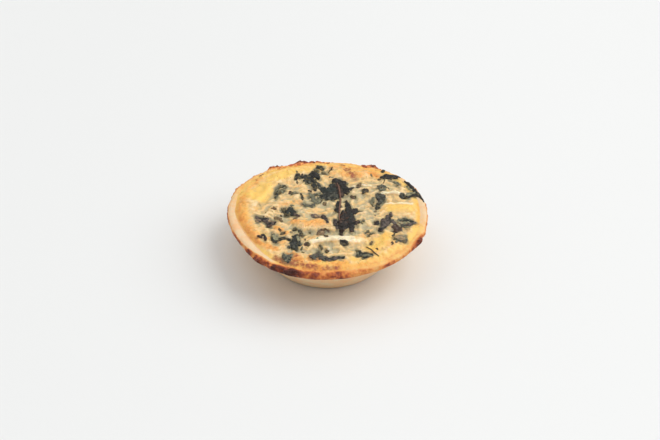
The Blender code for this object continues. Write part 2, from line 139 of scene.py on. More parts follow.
# Lumps of set egg and melted cheese: x, y, half-length, half-width, heading in degrees, height
LUMPS = {
    "gold_lump": (-5.0, -10.5, 9.0, 4.6, -4, 1.9),
    "cream_ridge": (3.0, -24.5, 15.0, 3.4, 4, 2.1),
    "cream_ridge_end": (-10.0, -29.5, 5.0, 3.3, 30, 1.1),
    "yellow_slab": (40.0, 3.0, 8.0, 6.0, -6, 1.4),
    "left_pillow": (-42.0, 7.5, 11.0, 6.5, 78, 1.2),
    "left_fold": (-29.0, 5.5, 8.5, 2.6, 62, 1.0),
    "back_left_pillow": (-24.0, 33.5, 10.0, 7.0, 25, 0.9),
    "back_gold": (14.0, 38.0, 12.0, 5.0, -6, 1.3),
    "shred_heap": (24.5, 20.0, 12.0, 6.5, -12, 1.5),
    "shred_ridge": (37.5, 19.0, 8.0, 3.0, -20, 1.1),
    "front_right_pillow": (33.0, -30.0, 9.0, 5.5, 42, 1.4),
    "heart_heap": (8.5, -2.0, 7.5, 13.0, 0, 1.2),
    "right_heap": (31.0, -8.5, 8.0, 5.0, 10, 1.0),
    "front_left_fold": (-27.0, -12.0, 8.0, 3.0, -38, 1.1),
    "left_front_pillow": (-37.0, -15.5, 8.0, 4.0, -50, 0.8),
    "front_lap": (-3.0, -45.0, 12.0, 3.0, -2, 0.6),
    "mid_left_lump": (-15.0, -8.5, 5.0, 3.4, -20, 1.2),
    "mid_curd": (17.0, -12.0, 7.0, 4.0, 15, 0.9),
}
HOLLOWS = {
    "left_valley": (-32.5, 17.0, 11.0, 2.4, 62, 1.3),
    "front_valley": (-4.0, -33.5, 15.0, 3.0, 2, 1.1),
    "gold_step": (-3.0, -17.5, 10.0, 2.2, 6, 1.0),
    "front_left_valley": (-31.0, -19.0, 8.0, 2.2, -28, 0.9),
    "slab_step": (33.0, 10.5, 8.0, 1.8, -4, 0.8),
    "teal_pool": (-4.0, 14.0, 9.0, 6.0, -20, 0.8),
}
BUMP_FLATNESS = 1.4

# Swells of the whole filling: size in mm, layer of noise and height in mm. They calm down between
# these shares of the radius, by this much
SWELLS = ((9.0, 0.0, 0.75), (3.6, 2.5, 0.55))
CALM_SHARES = (0.72, 0.95)
CALM_LOSS = 0.6

# The filling's finer relief, in the same terms, and where and how much it calms down
FOLDS = ((4.4, 51.0, 0.28), (2.3, 57.0, 0.07))
FOLD_SHARPNESS = 2.4
CURDS = (4.2, 0.0, 0.25)
GRAIN = (2.1, 7.0, 0.26)
FINE_GRAIN = (0.9, 9.0, 0.11)
PITS = (1.4, 21.0, 0.45)
PIT_LEVELS = (0.38, 0.7)
BLISTERS = (2.0, 33.0, 0.3)
DETAIL_CALM_SHARES = (0.75, 0.92)
DETAIL_CALM_LOSS = 0.5

# Strands of melted cheese on the filling: points, half-width and height, in mm
STRANDS = (
    (((-9, -28.5), (-2, -26), (7, -25), (16, -26)), 1.3, 0.7),
    (((-3, -22.5), (6, -21.5), (14, -22.5)), 1.1, 0.4), (((32, 9.5), (40, 9), (48, 7.5)), 1.0, 0.5),
    (((34, -2), (41, -2.5), (47, -1)), 0.9, 0.35), (((12, 24.5), (18, 26.5), (24, 25)), 0.9, 0.6),
    (((20, 29), (26, 26), (32, 25.5)), 0.9, 0.6), (((25, 22), (31, 23.5), (38, 22.5)), 0.9, 0.6),
    (((30, 17), (37, 17.5), (44, 15)), 0.9, 0.6), (((18, 18.5), (24, 17), (27, 19.5)), 0.8, 0.5),
    (((34, 29), (39, 26), (42, 22)), 0.9, 0.5), (((15, 30), (21, 32), (28, 31)), 0.8, 0.4),
    (((-40, 2), (-35, -1), (-30, -3)), 0.9, 0.5), (((-34, 14), (-28, 11), (-22, 10)), 0.9, 0.5),
    (((-26, 28), (-19, 26), (-13, 26)), 0.9, 0.5), (((-30, -8), (-24, -9), (-19, -13)), 0.9, 0.5),
    (((-36, -12), (-31, -14), (-25, -18)), 0.9, 0.5), (((-14, 2), (-8, 0), (-1, 1)), 0.9, 0.4),
    (((-13, -14), (-6, -15), (2, -14)), 0.9, 0.4), (((16, -5), (21, -8), (25, -6)), 0.9, 0.4),
    (((17, 5), (22, 8), (25, 5)), 0.9, 0.4), (((13, -18), (20, -20), (27, -19)), 0.9, 0.4),
    (((-22, -28), (-15, -31), (-8, -33)), 0.9, 0.5), (((4, -35), (10, -36), (14, -34)), 0.8, 0.4),
    (((22, -33), (28, -35), (33, -33)), 0.9, 0.4), (((27, -14), (33, -17), (38, -19)), 0.8, 0.4),
)

# Strands at random places: how many, how far out, and ranges of length, bend, half-width and height
LOOSE_STRANDS = 46
LOOSE_STRAND_REACH = 36.0
LOOSE_STRAND_LENGTH = (4.0, 10.0)
LOOSE_STRAND_BEND = (-1.5, 1.5)
LOOSE_STRAND_WIDTH = (0.6, 1.0)
LOOSE_STRAND_HEIGHT = (0.25, 0.55)

# How far each kind of baking goes over the filling: points, half-width in mm and amount
YELLOW_SPOTS = (
    (((-43, 20), (-38, 17.5), (-35, 25.5)), 6.5, 0.95), (((-47, 10), (-45, -2)), 4.0, 0.6),
    (((-31, 34), (-26, 36.5), (-20.5, 41)), 5.0, 0.9), (((-15, 43), (-6, 45)), 4.0, 0.6),
    (((8, 41), (17.5, 42.5)), 4.0, 0.6), (((-6, -45), (3, -45), (9, -45.5)), 3.6, 0.85),
    (((24, -30.5), (27.5, -25.5), (31.5, -21.5)), 6.0, 0.8), (((35, 4.5), (45, 4)), 5.0, 0.85),
    (((-36, -17), (-30, -24)), 3.2, 0.5), (((14, -40), (24, -41), (33, -36)), 4.0, 0.6),
)
ORANGE_SPOTS = (
    (((-47.5, 16), (-48.5, 4), (-45.5, -5), (-42.5, -14), (-38.5, -22)), 4.6, 0.8),
    (((-39.5, -22), (-34, -27.5), (-27.5, -32)), 2.6, 0.8), (((-47, 19), (-44, 26), (-38, 34)), 3.0, 0.6),
    (((-22, -44), (-19, -38), (-15, -42)), 4.6, 1.0), (((-34, -27), (-28, -32)), 3.0, 0.7),
    (((-9, -41), (-5, -42)), 3.4, 0.9), (((-15, -46), (-4, -47.5)), 3.4, 0.85),
    (((3, -45.5), (9, -44)), 3.6, 0.75), (((12, -47), (20, -44)), 3.2, 0.75),
    (((22, -43), (30, -38)), 2.6, 0.5), (((20, -36), (27, -33)), 3.0, 0.45),
    (((33, -28), (39, -21)), 3.6, 0.5), (((41, -14), (45, -8)), 2.6, 0.45),
    (((-36, 12), (-33, 6)), 3.0, 0.3), (((-11.5, -49), (-4.5, -50.5), (3, -50), (10, -49.5)), 2.8, 0.95),
    (((10, -49.5), (20, -47), (27, -45)), 2.2, 0.6),
    (((27, -45), (34.5, -40.5), (41, -33), (45.5, -25)), 3.0, 0.8),
    (((48, -12), (50, -3.5), (50, 8)), 1.5, 0.6), (((24.5, 39.5), (28, 36)), 3.6, 0.95),
    (((4, 46), (15, 44), (26, 42)), 4.4, 0.65), (((10, 38), (18, 36)), 4.0, 0.7),
    (((-8, 44), (-2, 41)), 3.0, 0.45), (((36, 38), (30, 43)), 2.4, 0.7),
    (((10, 36), (16, 35)), 3.2, 0.45), (((-27, 45), (-20, 47), (-8, 49)), 2.6, 0.65),
    (((-11, -9.5), (-3, -10)), 4.4, 0.72), (((-18.5, 11.5), (-15, 10)), 3.4, 0.62),
    (((-19, -7), (-16, -9)), 3.0, 0.7), (((-27, -13), (-22, -18)), 2.8, 0.75),
    (((20, -20), (23, -18)), 3.0, 0.5), (((-12, -23), (-7, -21)), 3.0, 0.5),
    (((-24, 8), (-20, 3)), 3.6, 0.5), (((-6, 3), (0, -3)), 3.4, 0.4), (((-33, -6), (-30, -10)), 3.2, 0.5),
    (((8, 33), (14, 30)), 3.0, 0.4), (((-22, -30), (-16, -33)), 3.0, 0.45),
    (((30, -2), (36, -5)), 3.2, 0.35), (((20, 12), (25, 9)), 3.0, 0.4),
    (((25, -21), (31, -20)), 4.0, 0.4), (((36, -12), (42, -14)), 3.0, 0.5),
    (((-30, -22), (-24, -27)), 3.0, 0.55), (((-16, 27), (-22, 24)), 2.6, 0.35),
    (((0, 36), (4, 40)), 3.0, 0.5), (((-30, 4.5), (-29, 4)), 1.2, 1.0),
)
SCORCH_SPOTS = (
    (((-26.5, -40.5), (-22, -44), (-17, -45.5)), 3.0, 1.0), (((-18, -43), (-16, -39)), 2.2, 0.75),
    (((-13, -46.8), (-6, -48)), 2.6, 0.9), (((-9, -39.5), (-5.5, -40)), 2.2, 0.55),
    (((-1, -48.6), (5, -48.2)), 2.2, 0.85), (((-8, -41.5), (-6, -40.5)), 1.8, 0.6),
    (((12, -50), (17, -48.5)), 1.6, 0.7), (((48.8, -20.5), (46.5, -26)), 1.6, 0.95),
    (((-27, 46), (-25, 47)), 2.4, 0.9), (((-13, 51), (-7.5, 51.5)), 1.6, 0.9),
    (((6, 48.5), (10, 48)), 1.2, 0.8), (((28, 44.5), (33.5, 42.5)), 1.4, 0.8),
    (((10.5, 42.5), (13.5, 39), (15.5, 33)), 2.4, 0.95), (((-41, 33), (-38, 36)), 1.4, 0.6),
    (((-49.5, 20), (-47, 24)), 1.0, 0.55),
)
CREAM_SPOTS = (
    (((-7, -26.5), (-1.5, -24.5), (5.5, -23.5), (12, -24.5)), 2.3, 1.0),
    (((13, -25), (18, -26)), 1.8, 0.5), (((0.5, -31.5), (2, -34)), 1.8, 0.9),
    (((-35, -20.5), (-33, -22.5)), 1.4, 0.9), (((-7, -35), (-4, -34)), 1.8, 0.7),
    (((33, 9), (46, 7.5)), 1.4, 0.7), (((12, 24.5), (18, 26.5), (24, 25)), 1.6, 0.6),
    (((30, 17), (37, 17.5), (44, 15)), 1.8, 0.6), (((-21, -36), (-12, -39)), 2.4, 0.5),
)
GREEN_SPOTS = (
    (((-12, 9), (-6, 13.5), (-1.5, 9)), 5.5, 0.95), (((20, -3), (24.5, 3), (22, -10)), 6.0, 0.6),
    (((9.5, 14.5), (15.5, 16), (17, 21.5)), 4.5, 0.75), (((28.5, 13.5), (26.5, 20)), 4.5, 0.65),
    (((17, 23), (29, 27), (38, 20), (43, 17)), 5.0, 0.5), (((-26.5, 20), (-17, 19)), 4.0, 0.55),
    (((-30.5, 0), (-32.5, -3.5)), 3.5, 0.5), (((-13, -34), (-22, -36.5)), 3.5, 0.55),
    (((-6, -33), (0, -36)), 3.0, 0.45), (((-36, 27), (-33, 21), (-28, 10)), 2.4, 0.6),
    (((-4, -18), (4, -19), (14, -17)), 3.0, 0.5), (((12, -19), (18, -17)), 3.5, 0.5),
)

# Bands of baking along the rim: bearing and half-width in degrees, reach in mm and amount
EDGE_GOLD = (
    (268, 20, 10.0, 0.9), (248, 10, 8.0, 0.85), (293, 17, 8.0, 0.75), (315, 17, 6.0, 0.8),
    (338, 14, 4.5, 0.7), (0, 22, 3.2, 0.75), (38, 20, 3.0, 0.6), (62, 16, 6.0, 0.8), (88, 18, 3.5, 0.55),
    (112, 18, 4.0, 0.7), (140, 20, 5.5, 0.8), (165, 20, 5.0, 0.6),
)
EDGE_SCORCH = (
    (272, 24, 4.6, 0.72), (250, 8, 5.0, 0.85), (300, 16, 3.0, 0.6), (334, 12, 2.6, 0.75),
    (318, 12, 2.0, 0.5), (120, 8, 3.0, 0.8), (103, 10, 2.2, 0.75), (62, 8, 2.2, 0.6), (142, 10, 1.8, 0.4),
)

# Green round the leaves: how far the tint and the stain reach, in mm, and how strong they are
HALO_START = -0.5
LEAF_HALO = 3.4
LEAF_HALO_AMOUNT = 0.7
LEAF_STAIN = 2.5
SCRAP_STAIN = 0.7

# The middle's own green, between these radii in mm, in patches of this size and layer of noise
MIDDLE_GREEN = 0.8
MIDDLE_RADII = (24.0, 40.0)
MIDDLE_PATCHES = (5.0, 61.0)
MIDDLE_LEVELS = (-0.25, 0.35)

# Every mask wanders by this much, in mm, over this size, in these layers of noise
WARP = 1.2
WARP_SIZE = 3.0
WARP_LAYERS = (40.0, 44.0)

# The yellow ring inside the rim: how strong, and where it begins and is full, in mm in
YELLOW_RING = 0.85
YELLOW_RING_BAND = (9.5, 4.0)

# Where the filling's skin stays smooth, in the same terms
SMOOTH_SPOTS = (
    (((-43, 20), (-38, 15), (-36, 25)), 8.0, 0.9), (((36, 4), (45, 3)), 6.0, 0.7),
    (((-45, 0), (-40, -12)), 5.0, 0.5),
)

# Pastry as it bakes, from pale to black-brown, and the dots of herb in the filling, as 0 to 255 values
BAKED_PASTRY = (
    (0.0, (244, 212, 168)), (0.2, (246, 198, 134)), (0.4, (238, 160, 82)), (0.58, (204, 112, 54)),
    (0.76, (146, 66, 38)), (1.0, (84, 38, 28)),
)
HERB_BROWN = (120, 98, 58)

# Colours of the leaves, as 0 to 255 values
BLACK_BROWN = (36, 30, 26)
BLACK_GREEN = (36, 38, 31)
MAROON = (80, 56, 42)
OLIVE = (98, 86, 54)
TEAL = (39, 48, 42)
SLATE = (88, 87, 74)
GREY_GREEN = (128, 126, 100)
PALE_GREEN = (158, 152, 118)
PURPLE = (96, 82, 74)
BEIGE = (178, 148, 110)
STEM_BROWN = (130, 106, 74)
STEM_RED = (134, 96, 78)

# The leaves, each a few thin layers: two colours and how far it lifts in mm, and its strokes as
# places and half-widths in mm
LEAVES = {
    "leaf_back_long": (
        ((BLACK_GREEN, OLIVE, 0.9), (
            ((-15.3, 33.9, 0.77), (-12.8, 34.7, 1.03), (-10.2, 33.8, 1.35), (-8.2, 30.2, 1.28),
             (-7.4, 25.9, 1.09), (-6.7, 22.5, 0.45)),)),
        ((SLATE, BLACK_GREEN, 0.7), (
            ((-6.9, 32, 0.45), (-5.6, 28.8, 0.58), (-4.3, 25.2, 0.7)),
            ((-12.7, 30.6, 0.39), (-10.1, 29.1, 0.45)))),
    ),
    "leaf_back_fork": (
        ((BLACK_BROWN, BLACK_GREEN, 1.1), (
            ((-10.3, 36.1, 0.65), (-8.4, 38.6, 1.1), (-6.3, 37.1, 1.36), (-5, 34.3, 0.77)),
            ((-8.2, 35.6, 0.65), (-8.9, 33.2, 0.64)))),
        ((BLACK_GREEN, OLIVE, 0.8), (
            ((-5.6, 45.8, 0.52), (-4.1, 45, 0.65), (-2.6, 43.9, 0.39)),)),
        ((OLIVE, GREY_GREEN, 0.5), (
            ((-6.7, 42.7, 0.46), (-5.1, 41.9, 0.39)),
            ((-2.6, 39.5, 0.58), (-1.5, 38.4, 0.58)))),
    ),
    "leaf_centre_back": (
        ((BLACK_BROWN, BLACK_GREEN, 1.2), (
            ((3.9, 30.7, 0.93), (6.6, 30.6, 1.08), (9.2, 28.8, 1.08)),
            ((8.5, 26.1, 1.46), (10.3, 22.6, 1.45), (11.1, 19.2, 0.91)),
            ((12.1, 21.8, 0.61), (13.8, 23.2, 0.54)))),
        ((MAROON, BLACK_BROWN, 1.0), (
            ((4.4, 27.6, 1.23), (5.8, 24.1, 1.38), (7.1, 20.2, 1.3), (7.6, 17.6, 0.84)),)),
        ((BLACK_BROWN, OLIVE, 0.8), (
            ((8.8, 19.5, 0.84), (10.9, 18.2, 0.69)),
            ((3.1, 25.5, 1.07), (3.7, 28.4, 0.85)))),
    ),
    "leaf_centre_teal": (
        ((TEAL, BLACK_GREEN, 0.9), (
            ((-3.7, 24.5, 0.83), (-1.1, 21.9, 1.21), (1.8, 22.1, 1.4), (4, 23.4, 1.28)),
            ((2.1, 25.5, 0.96), (4, 26.9, 1.09)))),
        ((BLACK_GREEN, SLATE, 1.0), (
            ((-3.2, 17, 0.89), (-0.8, 15.8, 1.14), (2.1, 14.8, 1.01), (4.3, 15.7, 1.08),
             (6.8, 18.2, 0.83)),
            ((-1.7, 20.2, 0.95), (0.8, 18.9, 1.14), (3.7, 19.5, 1.27), (6.2, 20.9, 1.08)))),
    ),
    "leaf_centre_sunk": (
        ((GREY_GREEN, SLATE, 0.35), (
            ((-9.7, 18.3, 0.64), (-8.4, 15.8, 1.08), (-6.5, 12.5, 0.76)),
            ((-7.5, 17.8, 0.44), (-5.9, 19.6, 0.38), (-4.3, 18.6, 0.51)))),
        ((SLATE, GREY_GREEN, 0.2), (
            ((-13.1, 9.8, 0.5), (-11.1, 7.5, 0.69), (-8.6, 6.9, 0.63), (-7.1, 9.9, 0.44)),
            ((-5.2, 14.8, 0.38), (-4.3, 12.9, 0.51), (-5.8, 10.6, 0.38)))),
    ),
    "leaf_heart": (
        ((BLACK_BROWN, MAROON, 1.0), (
            ((8.8, -2.5, 1.6), (9.0, -7.0, 2.5), (9.8, -11.5, 2.2)),)),
        ((BLACK_BROWN, BLACK_GREEN, 1.3), (
            ((6.2, 9.8, 0.7), (6, 5, 1.3), (5.2, 0.4, 0.95)),
            ((10.4, 10.5, 0.6), (11.2, 6.5, 1.2), (11.9, 1.7, 1.7), (11.8, -2.5, 2.3), (12.0, -7.6, 2.5)),
            ((11.4, -0.3, 1.82), (14, 1, 1.39), (15.4, 1.7, 0.66)))),
        ((BLACK_BROWN, MAROON, 1.7), (
            ((11, -7.8, 2.24), (13.1, -9, 2.02), (15.5, -9.8, 0.94), (17, -9.8, 0.4)),
            ((12.7, -11.8, 1.66), (13, -15.6, 0.86)),
            ((7.4, -9.7, 1.73), (7.7, -13.5, 1.37), (7.5, -16.1, 0.61), (7.3, -18.9, 0.25)))),
        ((BLACK_BROWN, PURPLE, 1.1), (
            ((4.1, -7.8, 0.79), (4.7, -11.3, 0.94), (5.5, -13.8, 0.43)),
            ((9.2, -5.2, 1.09), (9.5, -10.7, 1.44)))),
        ((TEAL, BLACK_GREEN, 2.0), (
            ((12.3, -1.1, 0.73), (13, -5.1, 0.87), (11.7, -8.4, 0.65)),)),
    ),
    "leaf_grey": (
        ((SLATE, BLACK_BROWN, 0.6), (
            ((27.9, 14.4, 1.37), (29.2, 13, 1.82), (30.4, 13.6, 1.21)),
            ((28.1, 11.9, 0.83), (29.2, 11.7, 0.76)))),
        ((BLACK_GREEN, OLIVE, 0.4), (
            ((27.5, 8.3, 0.53), (27.1, 4.6, 0.6)),
            ((29.2, 10.9, 0.3), (27.8, 7.8, 0.38)))),
        ((GREY_GREEN, OLIVE, 0.2), (
            ((25.1, 13, 0.53), (24.5, 10.2, 0.68), (24.5, 6.4, 0.45)),)),
    ),
    "leaf_back_right": (
        ((BLACK_BROWN, BLACK_BROWN, 0.8), (
            ((30.7, 34.1, 0.54), (33.5, 35.7, 1.08), (36, 35.5, 1.32), (38.7, 35.9, 1.16),
             (41.3, 36.9, 0.39)),)),
        ((BLACK_BROWN, OLIVE, 0.9), (
            ((32.9, 33.7, 0.54), (35.5, 33.2, 0.54), (37.9, 33.9, 0.54)),
            ((31.1, 41.5, 0.39), (32, 43.2, 0.31)))),
    ),
    "leaf_rim_right": (
        ((BLACK_BROWN, BLACK_GREEN, 0.9), (
            ((43.4, 30.7, 0.35), (45.2, 28.9, 0.69), (46.4, 25.5, 0.84), (48.4, 22.9, 0.77),
             (49.6, 19.2, 0.76), (51.6, 14.7, 0.61), (53, 11.8, 0.34)),
            ((46.2, 31.6, 0.27), (46.5, 29, 0.46), (46.4, 26.1, 0.54)))),
        ((BLACK_BROWN, OLIVE, 0.7), (
            ((42.7, 14, 0.27), (45.6, 14.8, 0.49), (48.3, 16.7, 0.76), (50.6, 17, 0.91)),
            ((49.1, 25.5, 0.31), (49.9, 22.7, 0.34)))),
        ((PALE_GREEN, SLATE, 0.5), (
            ((43.9, 15.4, 0.61), (46.5, 17.8, 0.76), (48.4, 19.3, 0.46)),
            ((44.4, 24.1, 0.46), (46.6, 21.9, 0.46)))),
        ((SLATE, GREY_GREEN, 0.5), (
            ((37.2, 29.5, 0.46), (39, 27.9, 0.77), (39.6, 25.9, 0.46)),
            ((28.3, 21.5, 0.61), (30.4, 23.7, 0.77), (32.5, 21.9, 0.46)),
            ((29.4, 20, 0.46), (31.4, 19.3, 0.53)))),
    ),
    "leaf_right_purple": (
        ((PURPLE, BLACK_BROWN, 1.1), (
            ((29.7, -8.3, 0.58), (30.6, -10.9, 1.51), (32.5, -8.1, 1.66), (32.6, -5, 0.94)),
            ((32.4, -5.3, 0.58), (34.4, -4.2, 0.51), (34.3, -1.8, 0.25)))),
        ((PURPLE, SLATE, 0.8), (
            ((30, -12, 0.94), (31.5, -11.6, 0.86)),
            ((34.5, -8.4, 0.65), (36.2, -9.2, 0.58)))),
        ((BLACK_BROWN, MAROON, 0.5), (
            ((25.6, -9.9, 0.5), (26.7, -9.6, 0.79)),)),
    ),
    "leaf_right_small": (
        ((MAROON, PURPLE, 0.9), (
            ((35, -13.1, 0.72), (36.9, -12.1, 1.22), (38.3, -13.9, 1.22), (36.6, -15.5, 0.72),
             (35.7, -16.1, 0.36)),)),
        ((BLACK_BROWN, PURPLE, 0.6), (
            ((27.8, -14.8, 0.5), (28.8, -14.7, 0.72)),)),
    ),
    "leaf_right_long": (
        ((PALE_GREEN, BEIGE, 0.4), (
            ((38.4, -8.5, 0.36), (41.3, -8.3, 1.01), (44.2, -8.7, 0.94), (46.3, -9.3, 0.43)),)),
        ((BLACK_GREEN, GREY_GREEN, 0.7), (
            ((38.7, -7, 0.29), (41.8, -6.3, 0.36), (44.6, -7.5, 0.36), (47.4, -9.2, 0.22)),
            ((40.7, -11.9, 0.43), (43, -12.8, 0.43)))),
        ((PURPLE, SLATE, 0.7), (
            ((40.4, -10.1, 0.32), (43.1, -10.4, 0.58), (45.4, -10, 0.58), (47.6, -9.1, 0.22)),)),
    ),
    "leaf_right_front": (
        ((GREY_GREEN, BEIGE, 0.5), (
            ((36.5, -22, 0.5), (39, -21.6, 1), (41.2, -22.1, 0.93)),)),
        ((OLIVE, SLATE, 0.6), (
            ((36, -22.3, 0.32), (37.7, -24.7, 0.39), (40.2, -25.4, 0.46), (41.9, -23.9, 0.36),
             (41.7, -21.5, 0.32)),)),
    ),
    "leaf_front_right": (
        ((GREY_GREEN, SLATE, 0.5), (
            ((16.4, -35.1, 0.56), (18.5, -36.3, 0.91), (20.9, -36.9, 0.77), (23.2, -36.6, 0.28)),)),
        ((BLACK_GREEN, OLIVE, 0.8), (
            ((15.5, -33.4, 0.56), (17.1, -34.3, 0.56)),
            ((15.7, -35.9, 0.28), (17.8, -36.7, 0.35), (19.9, -37.8, 0.42), (21.3, -37.4, 0.28)),
            ((19.5, -35.2, 0.25), (21.6, -35.9, 0.28), (23.4, -36.4, 0.25)))),
    ),
    "leaf_front": (
        ((SLATE, PURPLE, 1.1), (
            ((-6.8, -39.5, 0.9), (-4.7, -37.4, 1.02), (-3.4, -39.4, 1.32), (-1.7, -40.8, 1.02)),)),
        ((BLACK_GREEN, PURPLE, 0.8), (
            ((-8.5, -39.9, 0.42), (-6.8, -39.5, 0.48), (-5.9, -36.8, 0.48), (-4.6, -33.5, 0.42)),
            ((-2.3, -41.3, 0.66), (1, -41.8, 0.6), (4, -40.1, 0.56), (6.4, -39.7, 0.42),
             (8.6, -39.6, 0.24)))),
    ),
    "leaf_front_left": (
        ((SLATE, GREY_GREEN, 0.5), (
            ((-22.5, -38.3, 0.84), (-21.2, -40.6, 1.38), (-19.6, -39.4, 1.02), (-18.8, -38, 0.42)),
            ((-21.2, -42.8, 0.66), (-20.4, -43.5, 0.54)))),
        ((BLACK_GREEN, SLATE, 0.6), (
            ((-23.2, -39.6, 0.36), (-21.8, -41.6, 0.6)),
            ((-19.7, -40.9, 0.48), (-20.2, -43.3, 0.48)))),
    ),
    "leaf_roll": (
        ((BLACK_GREEN, SLATE, 1.4), (
            ((-16.9, -20.3, 0.61), (-17.6, -24.3, 1.04), (-17.8, -27.8, 1.7), (-16.8, -29.5, 1.58)),
            ((-20.4, -30.7, 0.3), (-18.4, -30.2, 0.79)),
            ((-15.1, -25.9, 0.37), (-14.7, -28.8, 0.67)))),
        ((TEAL, SLATE, 1.9), (
            ((-17.6, -26, 0.61), (-16.9, -28.1, 0.79), (-16.6, -30.2, 0.61)),)),
        ((BLACK_GREEN, OLIVE, 1.3), (
            ((-15.3, -15.8, 0.31), (-14.1, -16.2, 0.4), (-13.7, -17.5, 0.46), (-14.2, -19.5, 0.46),
             (-15.2, -20.5, 0.4), (-16.3, -19.5, 0.37)),
            ((-17.8, -14.1, 0.31), (-17, -14, 0.28)))),
        ((PALE_GREEN, SLATE, 1.6), (
            ((-15.7, -22.5, 0.37), (-15.2, -25.1, 0.43)),)),
    ),
    "leaf_fold_left": (
        ((PALE_GREEN, GREY_GREEN, 0.6), (
            ((-28.6, -19.8, 1.04), (-28, -23, 1.1), (-26.5, -22.9, 0.67)),)),
        ((BLACK_GREEN, OLIVE, 0.8), (
            ((-29.2, -18.8, 0.28), (-29.5, -22.5, 0.4), (-28.9, -24.9, 0.43), (-27.5, -25.9, 0.46),
             (-25.5, -24.6, 0.52), (-23.8, -22.6, 0.46), (-22.2, -23, 0.43), (-20, -24.8, 0.37)),)),
    ),
    "leaf_left_strand": (
        ((PURPLE, BLACK_BROWN, 0.8), (
            ((-38.7, -1.5, 0.41), (-37.3, -3.4, 0.56), (-34.5, -4, 0.47), (-32.1, -4.7, 0.37)),
            ((-34.4, -5.8, 0.5), (-32.8, -7.3, 0.74), (-31.5, -10.2, 0.74), (-29.8, -10.2, 0.49),
             (-28.1, -8.3, 0.37)))),
        ((BEIGE, PURPLE, 0.6), (
            ((-32.9, -5.9, 0.43), (-31, -7, 0.62), (-29.4, -7.5, 0.37)),
            ((-38.2, -4.9, 0.31), (-36.3, -5.6, 0.37)))),
        ((OLIVE, MAROON, 0.5), (
            ((-31.8, -11.3, 0.43), (-30.4, -11.3, 0.37)),)),
    ),
    "leaf_left_mid": (
        ((BLACK_GREEN, TEAL, 1.0), (
            ((-22, 2, 0.94), (-20.5, 4.2, 1.19), (-18.7, 2, 1.25), (-19.2, -0.4, 0.75)),)),
        ((OLIVE, BLACK_GREEN, 0.5), (
            ((-24.4, 4.1, 0.5), (-23.6, 4.2, 0.56), (-24.1, 1.6, 0.5)),
            ((-22.9, 0.1, 0.37), (-21, -0.2, 0.5)))),
        ((PURPLE, MAROON, 0.5), (
            ((-18.2, -0.6, 0.5), (-16.6, -1.7, 0.44), (-15.2, -2.3, 0.25)),)),
    ),
    "leaf_left_back": (
        ((GREY_GREEN, OLIVE, 0.4), (
            ((-28.4, 21.1, 0.7), (-27.9, 23.5, 0.51), (-26.9, 25.7, 0.45), (-25.1, 26.5, 0.38),
             (-23.2, 25.3, 0.32)),
            ((-26.9, 20.9, 0.64), (-24.4, 21.8, 0.7)))),
        ((BLACK_GREEN, GREY_GREEN, 0.6), (
            ((-28.4, 15.9, 0.41), (-28.3, 17.4, 0.44)),
            ((-28.2, 20.1, 0.45), (-27.7, 21.4, 0.32)),
            ((-24.7, 20.9, 0.38), (-23.6, 21.8, 0.32)),
            ((-26.1, 26.3, 0.19), (-24.8, 26.6, 0.19)))),
    ),
}

